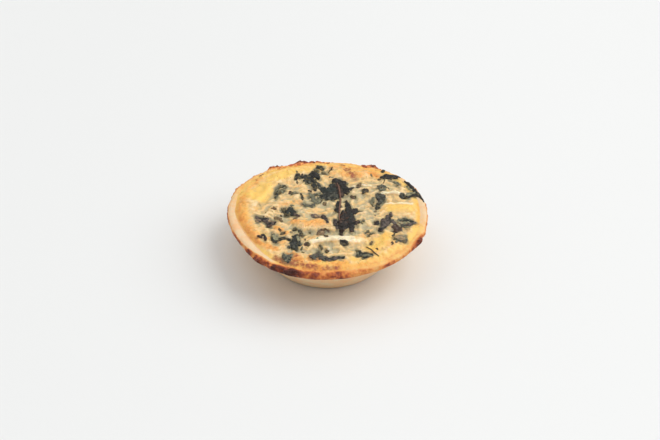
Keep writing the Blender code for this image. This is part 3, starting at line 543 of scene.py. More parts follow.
# Scraps of leaf: two colours and one stroke
SCRAPS = (
    (BLACK_BROWN, OLIVE, ((-17.5, 33, 0.97), (-17.1, 34.9, 1.1), (-16.6, 36.3, 0.71))),
    (OLIVE, MAROON, ((0.6, 39.7, 0.42), (1.4, 41.5, 0.42), (2.5, 44, 0.33))),
    (OLIVE, GREY_GREEN, ((-19.6, 19.5, 0.51), (-18.1, 20.3, 0.64), (-16.7, 19.9, 0.45))),
    (OLIVE, BLACK_GREEN, ((-14.7, 18.5, 0.35), (-14, 15.7, 0.41), (-13.6, 13.6, 0.25))),
    (STEM_BROWN, STEM_BROWN, ((-30.1, 4, 0.56), (-29.3, 4.4, 0.75), (-28.3, 4, 0.5))),
    (SLATE, BLACK_GREEN, ((-38.5, 10.5, 0.28), (-38.2, 10.1, 0.28))),
    (STEM_BROWN, BLACK_BROWN, ((16.7, 24.3, 0.61), (17.7, 25.3, 0.84), (18.1, 27.5, 0.46))),
    (BLACK_BROWN, OLIVE, ((19.8, 18.6, 0.46), (20.4, 20, 0.84), (21.8, 20.1, 0.53))),
    (BLACK_GREEN, SLATE, ((40.8, 15.3, 0.53), (41.7, 15.4, 0.53))),
    (OLIVE, MAROON, ((13.1, 15.8, 0.38), (14.3, 14.6, 0.46), (15.2, 15.5, 0.3))),
    (GREY_GREEN, OLIVE, ((17.3, 1.8, 0.38), (18.6, 1.4, 0.34))),
    (STEM_BROWN, OLIVE, ((-28, -3.8, 0.28), (-27.2, -3.1, 0.34), (-25.9, -4.2, 0.37),
     (-24.7, -6.2, 0.28))),
    (STEM_BROWN, PURPLE, ((-18, -5.4, 0.25), (-17, -4.6, 0.28), (-15.7, -2.7, 0.25))),
    (OLIVE, MAROON, ((-11.5, -29, 0.39), (-10.4, -28.8, 0.49), (-10.1, -29.8, 0.27))),
    (OLIVE, GREY_GREEN, ((-3.7, -29.3, 0.3), (-2.8, -30.3, 0.42))),
    (BEIGE, PURPLE, ((-8.2, -1.3, 0.34), (-6.3, -2, 0.62), (-4.6, -3, 0.44))),
    (BLACK_BROWN, PURPLE, ((-2.7, -2.6, 0.56), (-1.4, -5.3, 1.06), (-0.1, -9.4, 0.43))),
    (STEM_BROWN, MAROON, ((-4.7, -18.5, 0.43), (-4.1, -16.5, 0.46), (-1.8, -15.4, 0.4),
     (0.7, -15.3, 0.25))),
    (STEM_BROWN, BEIGE, ((-3.8, -18.4, 0.61), (-2.5, -17.7, 0.68))),
    (STEM_BROWN, BLACK_BROWN, ((-1, -23.2, 0.4), (0.1, -22.8, 0.37))),
    (BLACK_BROWN, MAROON, ((-37, -20.5, 0.28), (-35.3, -20.5, 0.37), (-34, -18.3, 0.37),
     (-33.2, -21.7, 0.37), (-32.7, -23.9, 0.24))),
    (OLIVE, OLIVE, ((-9.8, -16.8, 0.18), (-9, -17.1, 0.18))),
    (OLIVE, MAROON, ((-24.2, -17.8, 0.25), (-23, -17.6, 0.25))),
    (BLACK_BROWN, OLIVE, ((7.2, -26.7, 0.35), (7.5, -27.6, 0.78), (9, -27.7, 0.85), (10.5, -27.6, 0.35))),
    (OLIVE, GREY_GREEN, ((22, -20.1, 0.43), (23.4, -18.7, 0.5), (24.5, -18.1, 0.29))),
    (OLIVE, GREY_GREEN, ((20.2, -17.8, 0.36), (21.7, -16.6, 0.29))),
    (OLIVE, MAROON, ((-0.2, -32.2, 0.42), (0.5, -32.7, 0.42))),
    (STEM_BROWN, OLIVE, ((23.6, -24.8, 0.32), (23.3, -26, 0.32))),
    (GREY_GREEN, OLIVE, ((16.8, -7.6, 0.29), (18.4, -9.3, 0.43), (19.5, -7.7, 0.29))),
    (BLACK_GREEN, OLIVE, ((27.2, 6.3, 0.44), (28, 5.5, 0.44))),
    (GREY_GREEN, OLIVE, ((18.4, 1.8, 0.29), (17.6, 1.5, 0.29))),
)
SCRAP_LIFT = 0.45

# Stems: points in mm, radius in mm and colour. They are laid in steps of this length in mm, with
# their height evened out over this many steps either side, are raised by this share of their
# radius, and thin to this share of it at their tips
STEM_STEP = 0.7
STEM_BLUR = 2
STEM_RISE = 0.9
STEM_TIP = 0.45
STEMS = (
    (((5.4, 28.0), (6.4, 22.0), (7.1, 15.0), (7.0, 8.0), (6.6, 1.0), (6.4, -6.0),
     (6.7, -10.0)), 0.5, STEM_RED),
    (((20.3, -29.0), (22.4, -31.8), (24.9, -35.4), (27.2, -37.6)), 0.32, OLIVE),
    (((30.8, 27.0), (32.0, 31.0), (32.2, 34.0)), 0.25, OLIVE),
)

# The outline of a layer of leaf, in mm: its cells, how much the strokes are widened, the size and
# depth of each order of raggedness, the room left round the strokes, and how far out it may reach.
# The strokes' half-widths are as seen from the front, which shortens what runs away from it
CELL = 0.22
VIEW_PRESS = 0.62
WIDEN = 0.18
RAGGED = ((2.4, 0.5), (1.1, 0.55), (0.5, 0.25))
SEED_STEP = 7.3
STREAK_PRESS = (0.5, 1.25)
MARGIN = (0.7, 0.9)
PROBE = 0.05
LEAST_SLOPE = 0.3
CORNER_ROUNDS = 4
RIM_KEEP = 54.0

# The crumpling of a layer: the size of each noise in mm and the factor of the layer's seed
EDGE_SOFTNESS = 0.5
BROAD = (2.6, 1.3)
FOLD = (1.7, 1.7)
CREASE = (0.9, 2.3)
CURL = (2.1, 3.1)
PATCH = (1.5, 9.7)
SHIFT = (0.25, 1.4)
SHIFT_SEEDS = (60.0, 70.0)

# Seeds of the layers: the first leaf and the step between leaves, and the first scrap, speck, flake
LEAF_SEEDS = (1.0, 5.0)
SCRAP_SEED = 150.0
SPECK_SEED = 200.0
FLAKE_SEED = 300.0

# Distances in mm under which points are welded
SPIN_WELD = 0.02
STEM_WELD = 0.01

# A height in metres above everything
RAY_START = 0.1

# Noise with finer and finer detail: how fast it fades, and how much finer each step is
FRACTAL_TERMS = (0.9, 2.1)
CELL_STEEPNESS = 1.6
PATH_FALL = 2.4

# A band along an edge: the shares of its reach between which it fades, and how full its middle is
BAND_SHARES = (0.35, 1.15)
BAND_GAIN = 1.3


def paint(red, green, blue):
    """A linear colour from its 0 to 255 values."""
    parts = []
    for part in (red / 255, green / 255, blue / 255):
        parts.append(part / 12.92 if part <= 0.04045 else ((part + 0.055) / 1.055) ** 2.4)
    return tuple(parts)


def size_property(name, description, default):
    return bpy.props.FloatProperty(
        name=name, description=description, default=default, min=0.0, unit="LENGTH", precision=4
    )


def colour_property(name, description, default):
    return bpy.props.FloatVectorProperty(
        name=name, description=description, default=default, subtype="COLOR", min=0.0, max=1.0
    )


class QuicheSizes(bpy.types.PropertyGroup):
    """Sizes of the quiche."""

    rim_radius: size_property("Rim radius", "Mean radius of the rim", 0.055)
    rim_height: size_property("Rim height", "Mean height of the rim", CASE_LOW.z + 0.026)
    base_radius: size_property("Base radius", "Radius of the flat base", 0.0315)
    pastry: size_property("Pastry thickness", "Thickness of the case's floor", 0.0032)
    crown: size_property("Filling crown", "How far the middle stands above the rim", 0.0002)
    edge: size_property("Filling edge", "How far the filling stands above the lip", 0.0007)
    leaf: size_property("Leaf thickness", "Thickness of one wilted leaf", 0.0003)
    rim_steps: bpy.props.IntProperty(
        name="Rim steps", description="Faces round the pastry case", default=720, min=60
    )
    filling_cells: bpy.props.IntProperty(
        name="Filling cells", description="Faces across the filling's top", default=280, min=40
    )


class QuicheColours(bpy.types.PropertyGroup):
    """Colours of the quiche."""

    custard: colour_property("Custard", "Plain set egg", paint(238, 199, 136))
    toast: colour_property("Toasted", "Lightly toasted egg", paint(230, 176, 96))
    # The hollows colour is painted shade in the hollows of the filling's relief, and the crests colour is
    # a painted highlight on its crests
    hollow_shade: colour_property("Hollows", "Hollows between curds", paint(204, 172, 114))
    crest: colour_property("Crests", "Crests of curds", paint(250, 225, 178))
    yellow: colour_property("Yolk", "Rich yellow egg", paint(254, 204, 98))
    orange: colour_property("Golden crust", "Well baked egg and cheese", paint(242, 168, 70))
    deep: colour_property("Deep crust", "Deeply baked egg and cheese", paint(208, 118, 46))
    scorch: colour_property("Scorch", "Red-brown crust", paint(140, 62, 36))
    cream: colour_property("Cheese", "Pale melted cheese", paint(250, 235, 200))
    green: colour_property("Green tint", "Egg coloured by spinach", paint(190, 179, 142))
    stain: colour_property("Leaf stain", "Egg right beside the leaves", paint(118, 110, 80))
    dough: colour_property("Dough", "Pale pastry", paint(242, 212, 170))
    dough_pink: colour_property("Baked dough", "Lightly baked pastry", paint(247, 194, 140))
    floor: colour_property("Table", "The table's surface", paint(239, 240, 240))


class Wire:
    """A shader socket that takes part in Python expressions, which add Math nodes."""

    def __init__(self, tree, socket=None):
        self.tree = tree
        self.socket = socket

    def node(self, kind, settings=None, out=0, **inputs):
        """Adds a node, with its settings made first, then its inputs as values or wires."""
        made = self.tree.nodes.new(kind)
        for name, value in (settings or {}).items():
            if name == "stops":
                self.set_stops(made.color_ramp, value)
            else:
                setattr(made, name, value)
        for name, value in inputs.items():
            key = int(name[1:]) if name[0] == "i" and name[1:].isdigit() else name.replace("_", " ")
            self.feed(made.inputs[key], value)
        return Wire(self.tree, made.outputs[out])

    def feed(self, socket, value):
        if isinstance(value, Wire):
            self.tree.links.new(value.socket, socket)
        else:
            socket.default_value = value

    @staticmethod
    def set_stops(ramp, stops):
        while len(ramp.elements) < len(stops):
            ramp.elements.new(1.0)
        for element, (place, colour) in zip(ramp.elements, stops):
            element.position = place
            element.color = (*colour, 1.0)

    def maths(self, operation, first, second=0.0, clamp=False):
        settings = {"operation": operation, "use_clamp": clamp}
        return self.node("ShaderNodeMath", settings, i0=first, i1=second)

    def __add__(self, other):
        return self.maths("ADD", self, other)

    def __radd__(self, other):
        return self.maths("ADD", other, self)

    def __sub__(self, other):
        return self.maths("SUBTRACT", self, other)

    def __rsub__(self, other):
        return self.maths("SUBTRACT", other, self)

    def __mul__(self, other):
        return self.maths("MULTIPLY", self, other)

    def __rmul__(self, other):
        return self.maths("MULTIPLY", other, self)

    def __pow__(self, other):
        return self.maths("POWER", self, other)

    def clamp(self):
        return self.maths("ADD", self, 0.0, clamp=True)

    def rise(self, low, high):
        """0 below low and 1 above high, smoothly."""
        settings = {"interpolation_type": "SMOOTHSTEP"}
        return self.node("ShaderNodeMapRange", settings, Value=self, From_Min=low, From_Max=high)

    def mix(self, first, second):
        """The first colour where this is 0, and the second where it is 1."""
        first, second = (
            value if isinstance(value, Wire) else (*value, 1.0) for value in (first, second)
        )
        settings = {"data_type": "RGBA"}
        return self.node("ShaderNodeMix", settings, out=2, i0=self, i6=first, i7=second)

    def times(self, colour):
        """The colour darkened or lightened by this factor."""
        grey = self.node("ShaderNodeCombineColor", Red=self, Green=self, Blue=self)
        settings = {"data_type": "RGBA", "blend_type": "MULTIPLY"}
        return self.node("ShaderNodeMix", settings, out=2, i0=1.0, i6=colour, i7=grey)


class Finish:
    """One material: its tree, its places in space, and its Principled shader."""

    def __init__(self, name):
        self.material = bpy.data.materials.new(name)
        self.material.use_nodes = True
        self.tree = self.material.node_tree
        self.shader = self.tree.nodes["Principled BSDF"]
        self.start = Wire(self.tree)
        self.place = self.start.node("ShaderNodeTexCoord", out="Object")

    def noise(self, size, detail=3.0, rough=0.55, twist=0.0, shift=(0.0, 0.0, 0.0)):
        """Noise whose features measure about size metres, from 0 to 1."""
        moved = self.start.node("ShaderNodeMapping", Vector=self.place, Location=shift)
        return self.start.node(
            "ShaderNodeTexNoise",
            Vector=moved,
            Scale=1.0 / size,
            Detail=detail,
            Roughness=rough,
            Distortion=twist,
        )

    def cells(self, size, feature="F1", shift=(0.0, 0.0, 0.0)):
        moved = self.start.node("ShaderNodeMapping", Vector=self.place, Location=shift)
        settings = {"feature": feature}
        return self.start.node("ShaderNodeTexVoronoi", settings, Vector=moved, Scale=1.0 / size)

    def mask(self, name):
        return self.start.node("ShaderNodeAttribute", {"attribute_name": name}, out="Fac")

    def colour_layer(self, name):
        return self.start.node("ShaderNodeAttribute", {"attribute_name": name}, out="Color")

    def bump(self, height, distance, strength=1.0):
        return self.start.node("ShaderNodeBump", Height=height, Distance=distance, Strength=strength)

    def set(self, **sockets):
        """Feeds the shader's sockets with wires, or with values on the sockets themselves."""
        for name, value in sockets.items():
            self.start.feed(self.shader.inputs[name.replace("_", " ")], value)
        return self.material


def deselect_all():
    if bpy.context.mode != "OBJECT":
        bpy.ops.object.mode_set(mode="OBJECT")
    bpy.ops.object.select_all(action="DESELECT")


def read_points(mesh):
    points = np.empty(len(mesh.vertices) * 3)
    mesh.vertices.foreach_get("co", points)
    return points.reshape(-1, 3)


def write_points(mesh, points):
    mesh.vertices.foreach_set("co", np.ascontiguousarray(points).ravel())
    mesh.update()


def selected_points(mesh):
    chosen = np.zeros(len(mesh.vertices), dtype=bool)
    mesh.vertices.foreach_get("select", chosen)
    return np.nonzero(chosen)[0]


def start_edit(kind):
    """Enters edit mode with nothing selected, to pick this kind of element."""
    bpy.ops.object.mode_set(mode="EDIT")
    bpy.ops.mesh.select_mode(type=kind)
    bpy.ops.mesh.select_all(action="DESELECT")


def end_edit(weld=None):
    """Welds points closer than this, in mm, turns the faces outwards, and leaves edit mode."""
    bpy.ops.mesh.select_all(action="SELECT")
    if weld is not None:
        bpy.ops.mesh.remove_doubles(threshold=weld * MM)
    bpy.ops.mesh.normals_make_consistent(inside=False)
    bpy.ops.object.mode_set(mode="OBJECT")


def round_points(out, up, angle):
    return np.stack([out * np.cos(angle), out * np.sin(angle), up], axis=1)


def add_mask(mesh, name, values):
    layer = mesh.attributes.new(name, "FLOAT", "POINT")
    layer.data.foreach_set("value", np.asarray(values, dtype=np.float32))


def add_colours(mesh, name, colours):
    layer = mesh.attributes.new(name, "FLOAT_COLOR", "POINT")
    full = np.ones((len(colours), 4), dtype=np.float32)
    full[:, :3] = colours
    layer.data.foreach_set("color", full.ravel())


def smooth_step(low, high, value):
    share = np.clip((value - low) / (high - low), 0.0, 1.0)
    return share * share * (3.0 - 2.0 * share)


def within(limit, band, value):
    """From 0 to 1 over the band, which is given in mm short of the limit."""
    return smooth_step(limit - band[0] * MM, limit - band[1] * MM, value)


def noise_field(x, y, size, layer=0.0):
    """Smooth noise from about -1 to 1, with features of this size."""
    return np.array([noise.noise((a, b, layer)) for a, b in zip(x / size, y / size)])


def fractal_field(points, size, octaves=4, layer=0.0):
    """Noise with finer and finer detail, read in three dimensions."""
    shifted = points / size + layer
    return np.array([noise.fractal(tuple(p), *FRACTAL_TERMS, octaves) for p in shifted])


def cell_field(x, y, size, layer=0.0):
    """Rounded curds: 1 in the middle of each cell, falling to 0 between cells."""
    near = [noise.voronoi((a, b, layer))[0][:2] for a, b in zip(x / size, y / size)]
    near = np.array(near)
    return np.clip((near[:, 1] - near[:, 0]) * CELL_STEEPNESS, 0.0, 1.0)


def layered(x, y, row, field=noise_field):
    """The row's size in mm, layer of noise and amount, as a field."""
    size, layer, amount = row
    return amount * field(x, y, size * MM, layer)


def waves(angle, terms):
    total = np.zeros_like(angle)
    for turns, cosine, sine in terms:
        total += cosine * np.cos(turns * angle) + sine * np.sin(turns * angle)
    return total * MM


def near_bearings(angle, rows, column):
    """The sum over the rows of the column's amount, which fades away from each row's bearing."""
    total = np.zeros_like(angle)
    for row in rows:
        turn = (np.degrees(angle) - row[0] + 180.0) % 360.0 - 180.0
        total += row[column] * np.exp(-((turn / row[1]) ** 2))
    return total


def near_path(x, y, points, width):
    """1 on the line through the points, fading to 0 at about the width from it."""
    best = np.full_like(x, np.inf)
    ends = [(a * MM, b * MM) for a, b in points]
    for (ax, ay), (bx, by) in zip(ends, ends[1:]):
        run_x, run_y = bx - ax, by - ay
        share = ((x - ax) * run_x + (y - ay) * run_y) / (run_x * run_x + run_y * run_y)
        share = np.clip(share, 0.0, 1.0)
        best = np.minimum(best, np.hypot(x - ax - share * run_x, y - ay - share * run_y))
    return np.exp(-((best / (width * MM)) ** PATH_FALL))


def spots(x, y, rows):
    """The strongest of the rows at each place."""
    total = np.zeros_like(x)
    for points, width, amount in rows:
        total = np.maximum(total, amount * near_path(x, y, points, width))
    return total


def bumps(x, y, rows):
    """The sum of oval rises with flattish tops."""
    total = np.zeros_like(x)
    for centre_x, centre_y, half_length, half_width, heading, height in rows:
        turn = math.radians(heading)
        across_x = x / MM - centre_x
        across_y = y / MM - centre_y
        along = (across_x * math.cos(turn) + across_y * math.sin(turn)) / half_length
        beside = (across_y * math.cos(turn) - across_x * math.sin(turn)) / half_width
        total += height * MM * np.exp(-((along * along + beside * beside) ** BUMP_FLATNESS))
    return total


def loose_strands():
    """Shreds of cheese at random places and headings, in the terms of STRANDS."""
    draw = random.Random(4)
    rows = []
    for _ in range(LOOSE_STRANDS):
        reach = LOOSE_STRAND_REACH * math.sqrt(draw.random())
        bearing = draw.uniform(0.0, math.tau)
        heading = draw.uniform(0.0, math.pi)
        half = draw.uniform(*LOOSE_STRAND_LENGTH) / 2
        bend = draw.uniform(*LOOSE_STRAND_BEND)
        x, y = reach * math.cos(bearing), reach * math.sin(bearing)
        run_x, run_y = half * math.cos(heading), half * math.sin(heading)
        points = ((x - run_x, y - run_y), (x + bend, y + bend), (x + run_x, y + run_y))
        width = draw.uniform(*LOOSE_STRAND_WIDTH)
        rows.append((points, width, draw.uniform(*LOOSE_STRAND_HEIGHT)))
    return rows


class Shape:
    """The quiche's main form, worked out from its sizes."""

    def __init__(self, sizes):
        self.sizes = sizes
        lip = LIP_SECTION
        self.lip = [(sizes.rim_radius - a * MM, sizes.rim_height - b * MM) for a, b in lip]
        self.foot = [(sizes.base_radius + a * MM, b * MM) for a, b in FOOT_SECTION]

    def rim_radius(self, angle):
        return self.sizes.rim_radius + self.rim_out(angle)

    def rim_out(self, angle):
        return waves(angle, RIM_OUT_WAVES) + near_bearings(angle, RIM_DENTS, 2) * MM

    def rim_up(self, angle):
        return waves(angle, RIM_UP_WAVES) + near_bearings(angle, RIM_DENTS, 3) * MM

    def press(self, radius, height, angle):
        """Where points of the mean section go once the rim is pressed into its real form."""
        rim = self.sizes.rim_radius
        share = smooth_step(*PRESS_SHARES, height / self.sizes.rim_height)
        edge = within(rim, CRAG_BAND, radius)
        out = radius + self.rim_out(angle) * share * radius / rim
        up = height + self.rim_up(angle) * share * np.minimum(1.0, radius / rim)
        out += near_bearings(angle, RIM_CRAGS, 2) * MM * edge
        up += near_bearings(angle, RIM_CRAGS, 3) * MM * edge
        return out, up

    def filling_edge(self, angle):
        bare = BARE_LIP_LEAST + near_bearings(angle, BARE_LIP_MORE, 2)
        return self.sizes.rim_radius - np.minimum(bare, BARE_LIP_MOST) * MM

    def lip_height(self, radius):
        outline = self.lip[:LIP_TOP]
        return np.interp(radius, [p[0] for p in outline], [p[1] for p in outline])

    def filling_top(self, x, y):
        """The height of the filling's top, before its edge rounds down on to the lip."""
        angle = np.arctan2(y, x)
        reach = self.rim_radius(angle)
        share = np.minimum(1.0, np.hypot(x, y) / reach)
        height = self.sizes.rim_height + self.rim_up(angle) * share * share
        height += self.sizes.crown * (1.0 - share * share)
        height += bumps(x, y, LUMPS.values()) - bumps(x, y, HOLLOWS.values())
        calm = 1.0 - CALM_LOSS * smooth_step(*CALM_SHARES, share)
        for row in SWELLS:
            height += MM * calm * layered(x, y, row)
        return height

    def filling_detail(self, x, y, browned):
        """The finer relief: folds, curds, strands of melted cheese, blisters and pits."""
        share = np.hypot(x, y) / self.sizes.rim_radius
        rough = 1.0 - spots(x, y, SMOOTH_SPOTS)
        inner = 1.0 - DETAIL_CALM_LOSS * smooth_step(*DETAIL_CALM_SHARES, share)
        relief = layered(x, y, CURDS, cell_field) - 0.5 * CURDS[2]
        for size, layer, amount in FOLDS:
            ridge = np.abs(noise_field(x, y, size * MM, layer))
            relief += amount * (1.0 - FOLD_SHARPNESS * ridge)
        relief *= rough * inner
        relief += (0.3 + 0.7 * rough) * layered(x, y, GRAIN)
        relief += rough * layered(x, y, FINE_GRAIN)
        strands = np.zeros_like(x)
        for points, width, height in [*STRANDS, *loose_strands()]:
            strands = np.maximum(strands, height * near_path(x, y, points, width))
        relief += strands * (0.25 + 0.75 * rough)
        size, layer, depth = PITS
        pits = smooth_step(*PIT_LEVELS, noise_field(x, y, size * MM, layer))
        relief -= depth * pits * (0.2 + 0.8 * rough)
        relief += browned * (layered(x, y, BLISTERS, cell_field) - 0.4 * BLISTERS[2])
        return relief * MM


def edge_band(x, y, edge, rows):
    """How strongly the rows mark a band along an edge: bearing and half-width in degrees, how far
    in it reaches in mm, and amount."""
    angle = np.arctan2(y, x)
    inwards = (edge - np.hypot(x, y)) / MM
    total = np.zeros_like(x)
    for bearing, spread, reach, amount in rows:
        near = near_bearings(angle, ((bearing, spread, 1.0),), 2)
        band = 1.0 - smooth_step(*(share * reach for share in BAND_SHARES), inwards)
        total = np.maximum(total, amount * np.minimum(1.0, BAND_GAIN * near) * band)
    return total


def blurred(values, reach):
    """The two-dimensional array with each value averaged over those within reach, twice."""
    for axis in (0, 1, 0, 1):
        around = [(reach, reach) if axis == side else (0, 0) for side in (0, 1)]
        padded = np.pad(values, around, mode="edge")
        count = values.shape[axis]
        shifted = [np.take(padded, range(i, i + count), axis) for i in range(2 * reach + 1)]
        values = sum(shifted) / len(shifted)
    return values


def square_to_disc(u, v):
    """Maps the square from -1 to 1 to the unit disc, as share of the radius and bearing."""
    share = np.maximum(np.abs(u), np.abs(v))
    safe = np.where(share == 0.0, 1.0, share)
    wide = np.abs(u) >= np.abs(v)
    flat = np.where(u == 0.0, 1.0, u)
    tall = np.where(v == 0.0, 1.0, v)
    bearing = np.where(wide, math.pi / 4 * v / flat, math.pi / 2 - math.pi / 4 * u / tall)
    turned = np.where(wide, u < 0, v < 0)
    return share * safe / safe, bearing + np.where(turned, math.pi, 0.0)


def smooth_line(points, step):
    """Points at even steps on a smooth curve through the given ones."""
    line = [Vector(p) for p in points]
    line = [line[0] * 2 - line[1], *line, line[-1] * 2 - line[-2]]
    made = []
    for before, start, end, after in zip(line, line[1:], line[2:], line[3:]):
        count = max(1, round((end - start).length / step))
        for index in range(count):
            t = index / count
            made.append(
                0.5
                * (
                    2 * start
                    + (end - before) * t
                    + (2 * before - 5 * start + 4 * end - after) * t * t
                    + (3 * start - before - 3 * end + after) * t**3
                )
            )
    made.append(line[-2])
    return made


def shade_by_angle(degrees):
    bpy.ops.object.shade_smooth_by_angle(angle=math.radians(degrees))


def finish_piece(obj, name, material, slot, *nodes):
    """Names the piece, gives it its finish, and puts it in place of its solids."""
    obj.name = name
    obj.data.name = name
    obj.data.materials.clear()
    obj.data.materials.append(material)
    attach(obj, "root")
    if nodes:
        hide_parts(*nodes)


def spun(section, steps):
    """A lathe: a line of vertices drawn by extruding, then spun round the Z axis and welded."""
    deselect_all()
    bpy.ops.mesh.primitive_plane_add(size=MM, location=(0.0, 0.0, 0.0))
    obj = bpy.context.active_object
    bpy.ops.object.mode_set(mode="EDIT")
    bpy.ops.mesh.select_mode(type="VERT")
    bpy.ops.mesh.merge(type="CENTER")
    here = Vector((0.0, 0.0, 0.0))
    start = Vector((section[0][0], 0.0, section[0][1]))
    bpy.ops.transform.translate(value=start - here)
    here = start
    for radius, height in section[1:]:
        there = Vector((radius, 0.0, height))
        bpy.ops.mesh.extrude_vertices_move(TRANSFORM_OT_translate={"value": there - here})
        here = there
    bpy.ops.mesh.select_all(action="SELECT")
    bpy.ops.mesh.spin(steps=steps, angle=math.tau, center=(0.0, 0.0, 0.0), axis=(0.0, 0.0, 1.0))
    end_edit(SPIN_WELD)
    return obj


def tree_of(obj):
    graph = bpy.context.evaluated_depsgraph_get()
    graph.update()
    return BVHTree.FromObject(obj, graph)


def ground_under(trees, x, y):
    """The height of the highest piece under each place."""
    down = Vector((0.0, 0.0, -1.0))
    heights = []
    for a, b in zip(x, y):
        hits = [tree.ray_cast(Vector((a, b, RAY_START)), down)[0] for tree in trees]
        heights.append(max([hit.z for hit in hits if hit is not None], default=0.0))
    return np.array(heights)


def pastry_finish(colours):
    """Baked dough: pale where it was sheltered, golden to red-brown where it was not."""
    finish = Finish("baked_pastry")
    bake = finish.mask("bake")
    mottle = finish.noise(2.6 * MM, 4.0, 0.6)
    fine = finish.noise(0.7 * MM, 3.0, 0.6, shift=(0.3, 0.1, 0.2))
    blotch = finish.noise(4.5 * MM, 3.0, 0.6, 0.5, (0.0, 0.3, 0.2))
    uneven = (mottle - 0.5) * 0.5 + (fine - 0.5) * 0.2 + (blotch - 0.5) * 1.0
    baked = (bake + uneven * (0.3 + bake)).clamp()
    pale = finish.noise(7.0 * MM, 3.0).rise(0.35, 0.7).mix(colours.dough, colours.dough_pink)
    stops = [(place, paint(*tint)) for place, tint in BAKED_PASTRY]
    ramp = finish.start.node("ShaderNodeValToRGB", {"stops": stops}, Fac=baked)
    golden = blotch.rise(0.35, 0.65).mix(colours.yellow, colours.orange)
    gilt = (finish.mask("gold") + (mottle - 0.5) * 0.3).rise(0.1, 0.34)
    colour = bake.rise(0.12, 0.4).mix((gilt * 0.85).mix(pale, golden), ramp)
    shade = 0.93 + (fine - 0.5) * 0.16 + (finish.noise(1.4 * MM) - 0.5) * 0.12
    crumb = finish.cells(0.9 * MM)
    relief = crumb * 0.35 + fine * 0.6 + mottle * 0.7
    return finish.set(
        Base_Color=shade.times(colour),
        Roughness=0.62 - baked * 0.16 + (fine - 0.5) * 0.12,
        Normal=finish.bump(relief, 0.22 * MM, 0.8),
        Subsurface_Weight=0.12,
        Subsurface_Radius=(1.0, 0.5, 0.25),
        Subsurface_Scale=0.0018,
        Specular_IOR_Level=0.35,
    )


def filling_finish(colours):
    """Set egg and melted cheese: yellow and golden, browned on top, grey-green by the spinach, with
    painted shade in its hollows and painted highlights on its crests.
    """
    finish = Finish("baked_filling")
    broad = finish.noise(6.0 * MM, 3.0, 0.55)
    mottle = finish.noise(2.2 * MM, 4.0, 0.6, 0.4, (0.1, 0.2, 0.0))
    fine = finish.noise(0.6 * MM, 3.0, 0.6, 0.2, (0.4, 0.1, 0.3))
    relief = finish.mask("relief")
    swell = finish.mask("swell")
    grain = (mottle - 0.5) * 0.7 + (fine - 0.5) * 0.35
    height = relief * 0.5 + swell * 0.5
    yellow = (finish.mask("yellow") + grain * 0.6 + (broad - 0.5) * 0.5).rise(0.15, 0.85)
    green = (finish.mask("green") - height * 0.4 + grain * 0.8).rise(0.12, 0.95)
    cream = (finish.mask("cream") + height * 0.3 + grain * 0.5).rise(0.3, 0.9)
    patch = finish.noise(4.0 * MM, 3.0, 0.6, 0.3, (0.3, 0.0, 0.2))
    toast = (swell * 0.3 + (patch - 0.45) * 2.2 + grain * 0.8).rise(0.0, 0.75) * 0.85
    orange = finish.mask("orange") + height * 0.25 + grain * 0.9 + (broad - 0.5) * 0.4
    orange = orange.rise(0.2, 0.95)
    deep = (finish.mask("orange") + grain * 1.5 + (broad - 0.5) - 0.45).rise(0.1, 0.8)
    scorch = (finish.mask("scorch") + relief * 0.25 + grain * 1.6).rise(0.3, 1.15)
    stain = (finish.mask("stain") + grain * 0.9).rise(0.2, 1.0) * (0.68 - height * 0.35)
    bare = (finish.mask("bare") + grain * 0.4).rise(0.1, 0.9)
    dots = finish.cells(2.3 * MM, shift=(0.02, 0.05, 0.0))
    speck = (0.16 - dots).rise(0.0, 0.06) * finish.noise(9.0 * MM).rise(0.45, 0.6) * 0.6
    layers = (
        # The first two layers paint shade into the hollows of the relief and a highlight on to its crests
        ((grain * 0.6 - height).rise(0.1, 1.0) * 0.65, colours.hollow_shade),
        ((grain * 0.5 + height).rise(0.15, 1.0) * 0.7, colours.crest),
        (green * 0.85, colours.green),
        (yellow * 0.85, colours.yellow),
        (cream * 0.9, colours.cream),
        (orange * 0.85, colours.orange),
        (deep * 0.7, colours.deep),
        (scorch * 0.9, colours.scorch),
        (bare, colours.dough_pink),
        (stain.clamp(), colours.stain),
        (speck, paint(*HERB_BROWN)),
    )
    colour = toast.mix(colours.custard, colours.toast)
    for share, tint in layers:
        colour = share.mix(colour, tint)
    # Painted light and shade: raised relief is lightened and its hollows darkened, with random tone from
    # the fine noise
    shade = 0.98 + relief * 0.09 + (fine - 0.5) * 0.16
    bumps = fine * 0.5 + mottle * 0.9 + finish.cells(1.1 * MM) * 0.3
    return finish.set(
        Base_Color=shade.times(colour),
        Roughness=0.42 + (mottle - 0.5) * 0.35 + scorch * 0.12,
        Coat_Weight=0.12 + (broad - 0.5) * 0.3,
        Coat_Roughness=0.25,
        Normal=finish.bump(bumps, 0.13 * MM, 0.7),
        Subsurface_Weight=0.2,
        Subsurface_Radius=(1.0, 0.55, 0.2),
        Subsurface_Scale=0.0015,
        Specular_IOR_Level=0.45,
    )


def leaf_finish():
    """Wilted leaf: its colour layer, with painted shade and light on its folds, broken up by veins and
    dark wet patches.
    """
    finish = Finish("wilted_leaf")
    own = finish.colour_layer("leaf_colour")
    patch = finish.noise(1.6 * MM, 4.0, 0.6)
    fine = finish.noise(0.45 * MM, 3.0, 0.6, shift=(0.2, 0.0, 0.1))
    veins = finish.cells(1.3 * MM, "DISTANCE_TO_EDGE")
    vein = 1.0 - veins.rise(0.0, 0.09)
    shade = 0.66 + (patch - 0.5) * 1.15 + (fine - 0.5) * 0.5 + vein * 0.26
    return finish.set(
        Base_Color=shade.times(own),
        Roughness=0.44 + (patch - 0.5) * 0.5,
        Coat_Weight=0.16 + (patch - 0.5) * 0.9,
        Coat_Roughness=0.14,
        Normal=finish.bump(patch * 0.8 + fine * 0.35 + vein * 0.3, 0.12 * MM, 0.7),
        Specular_IOR_Level=0.25,
    )


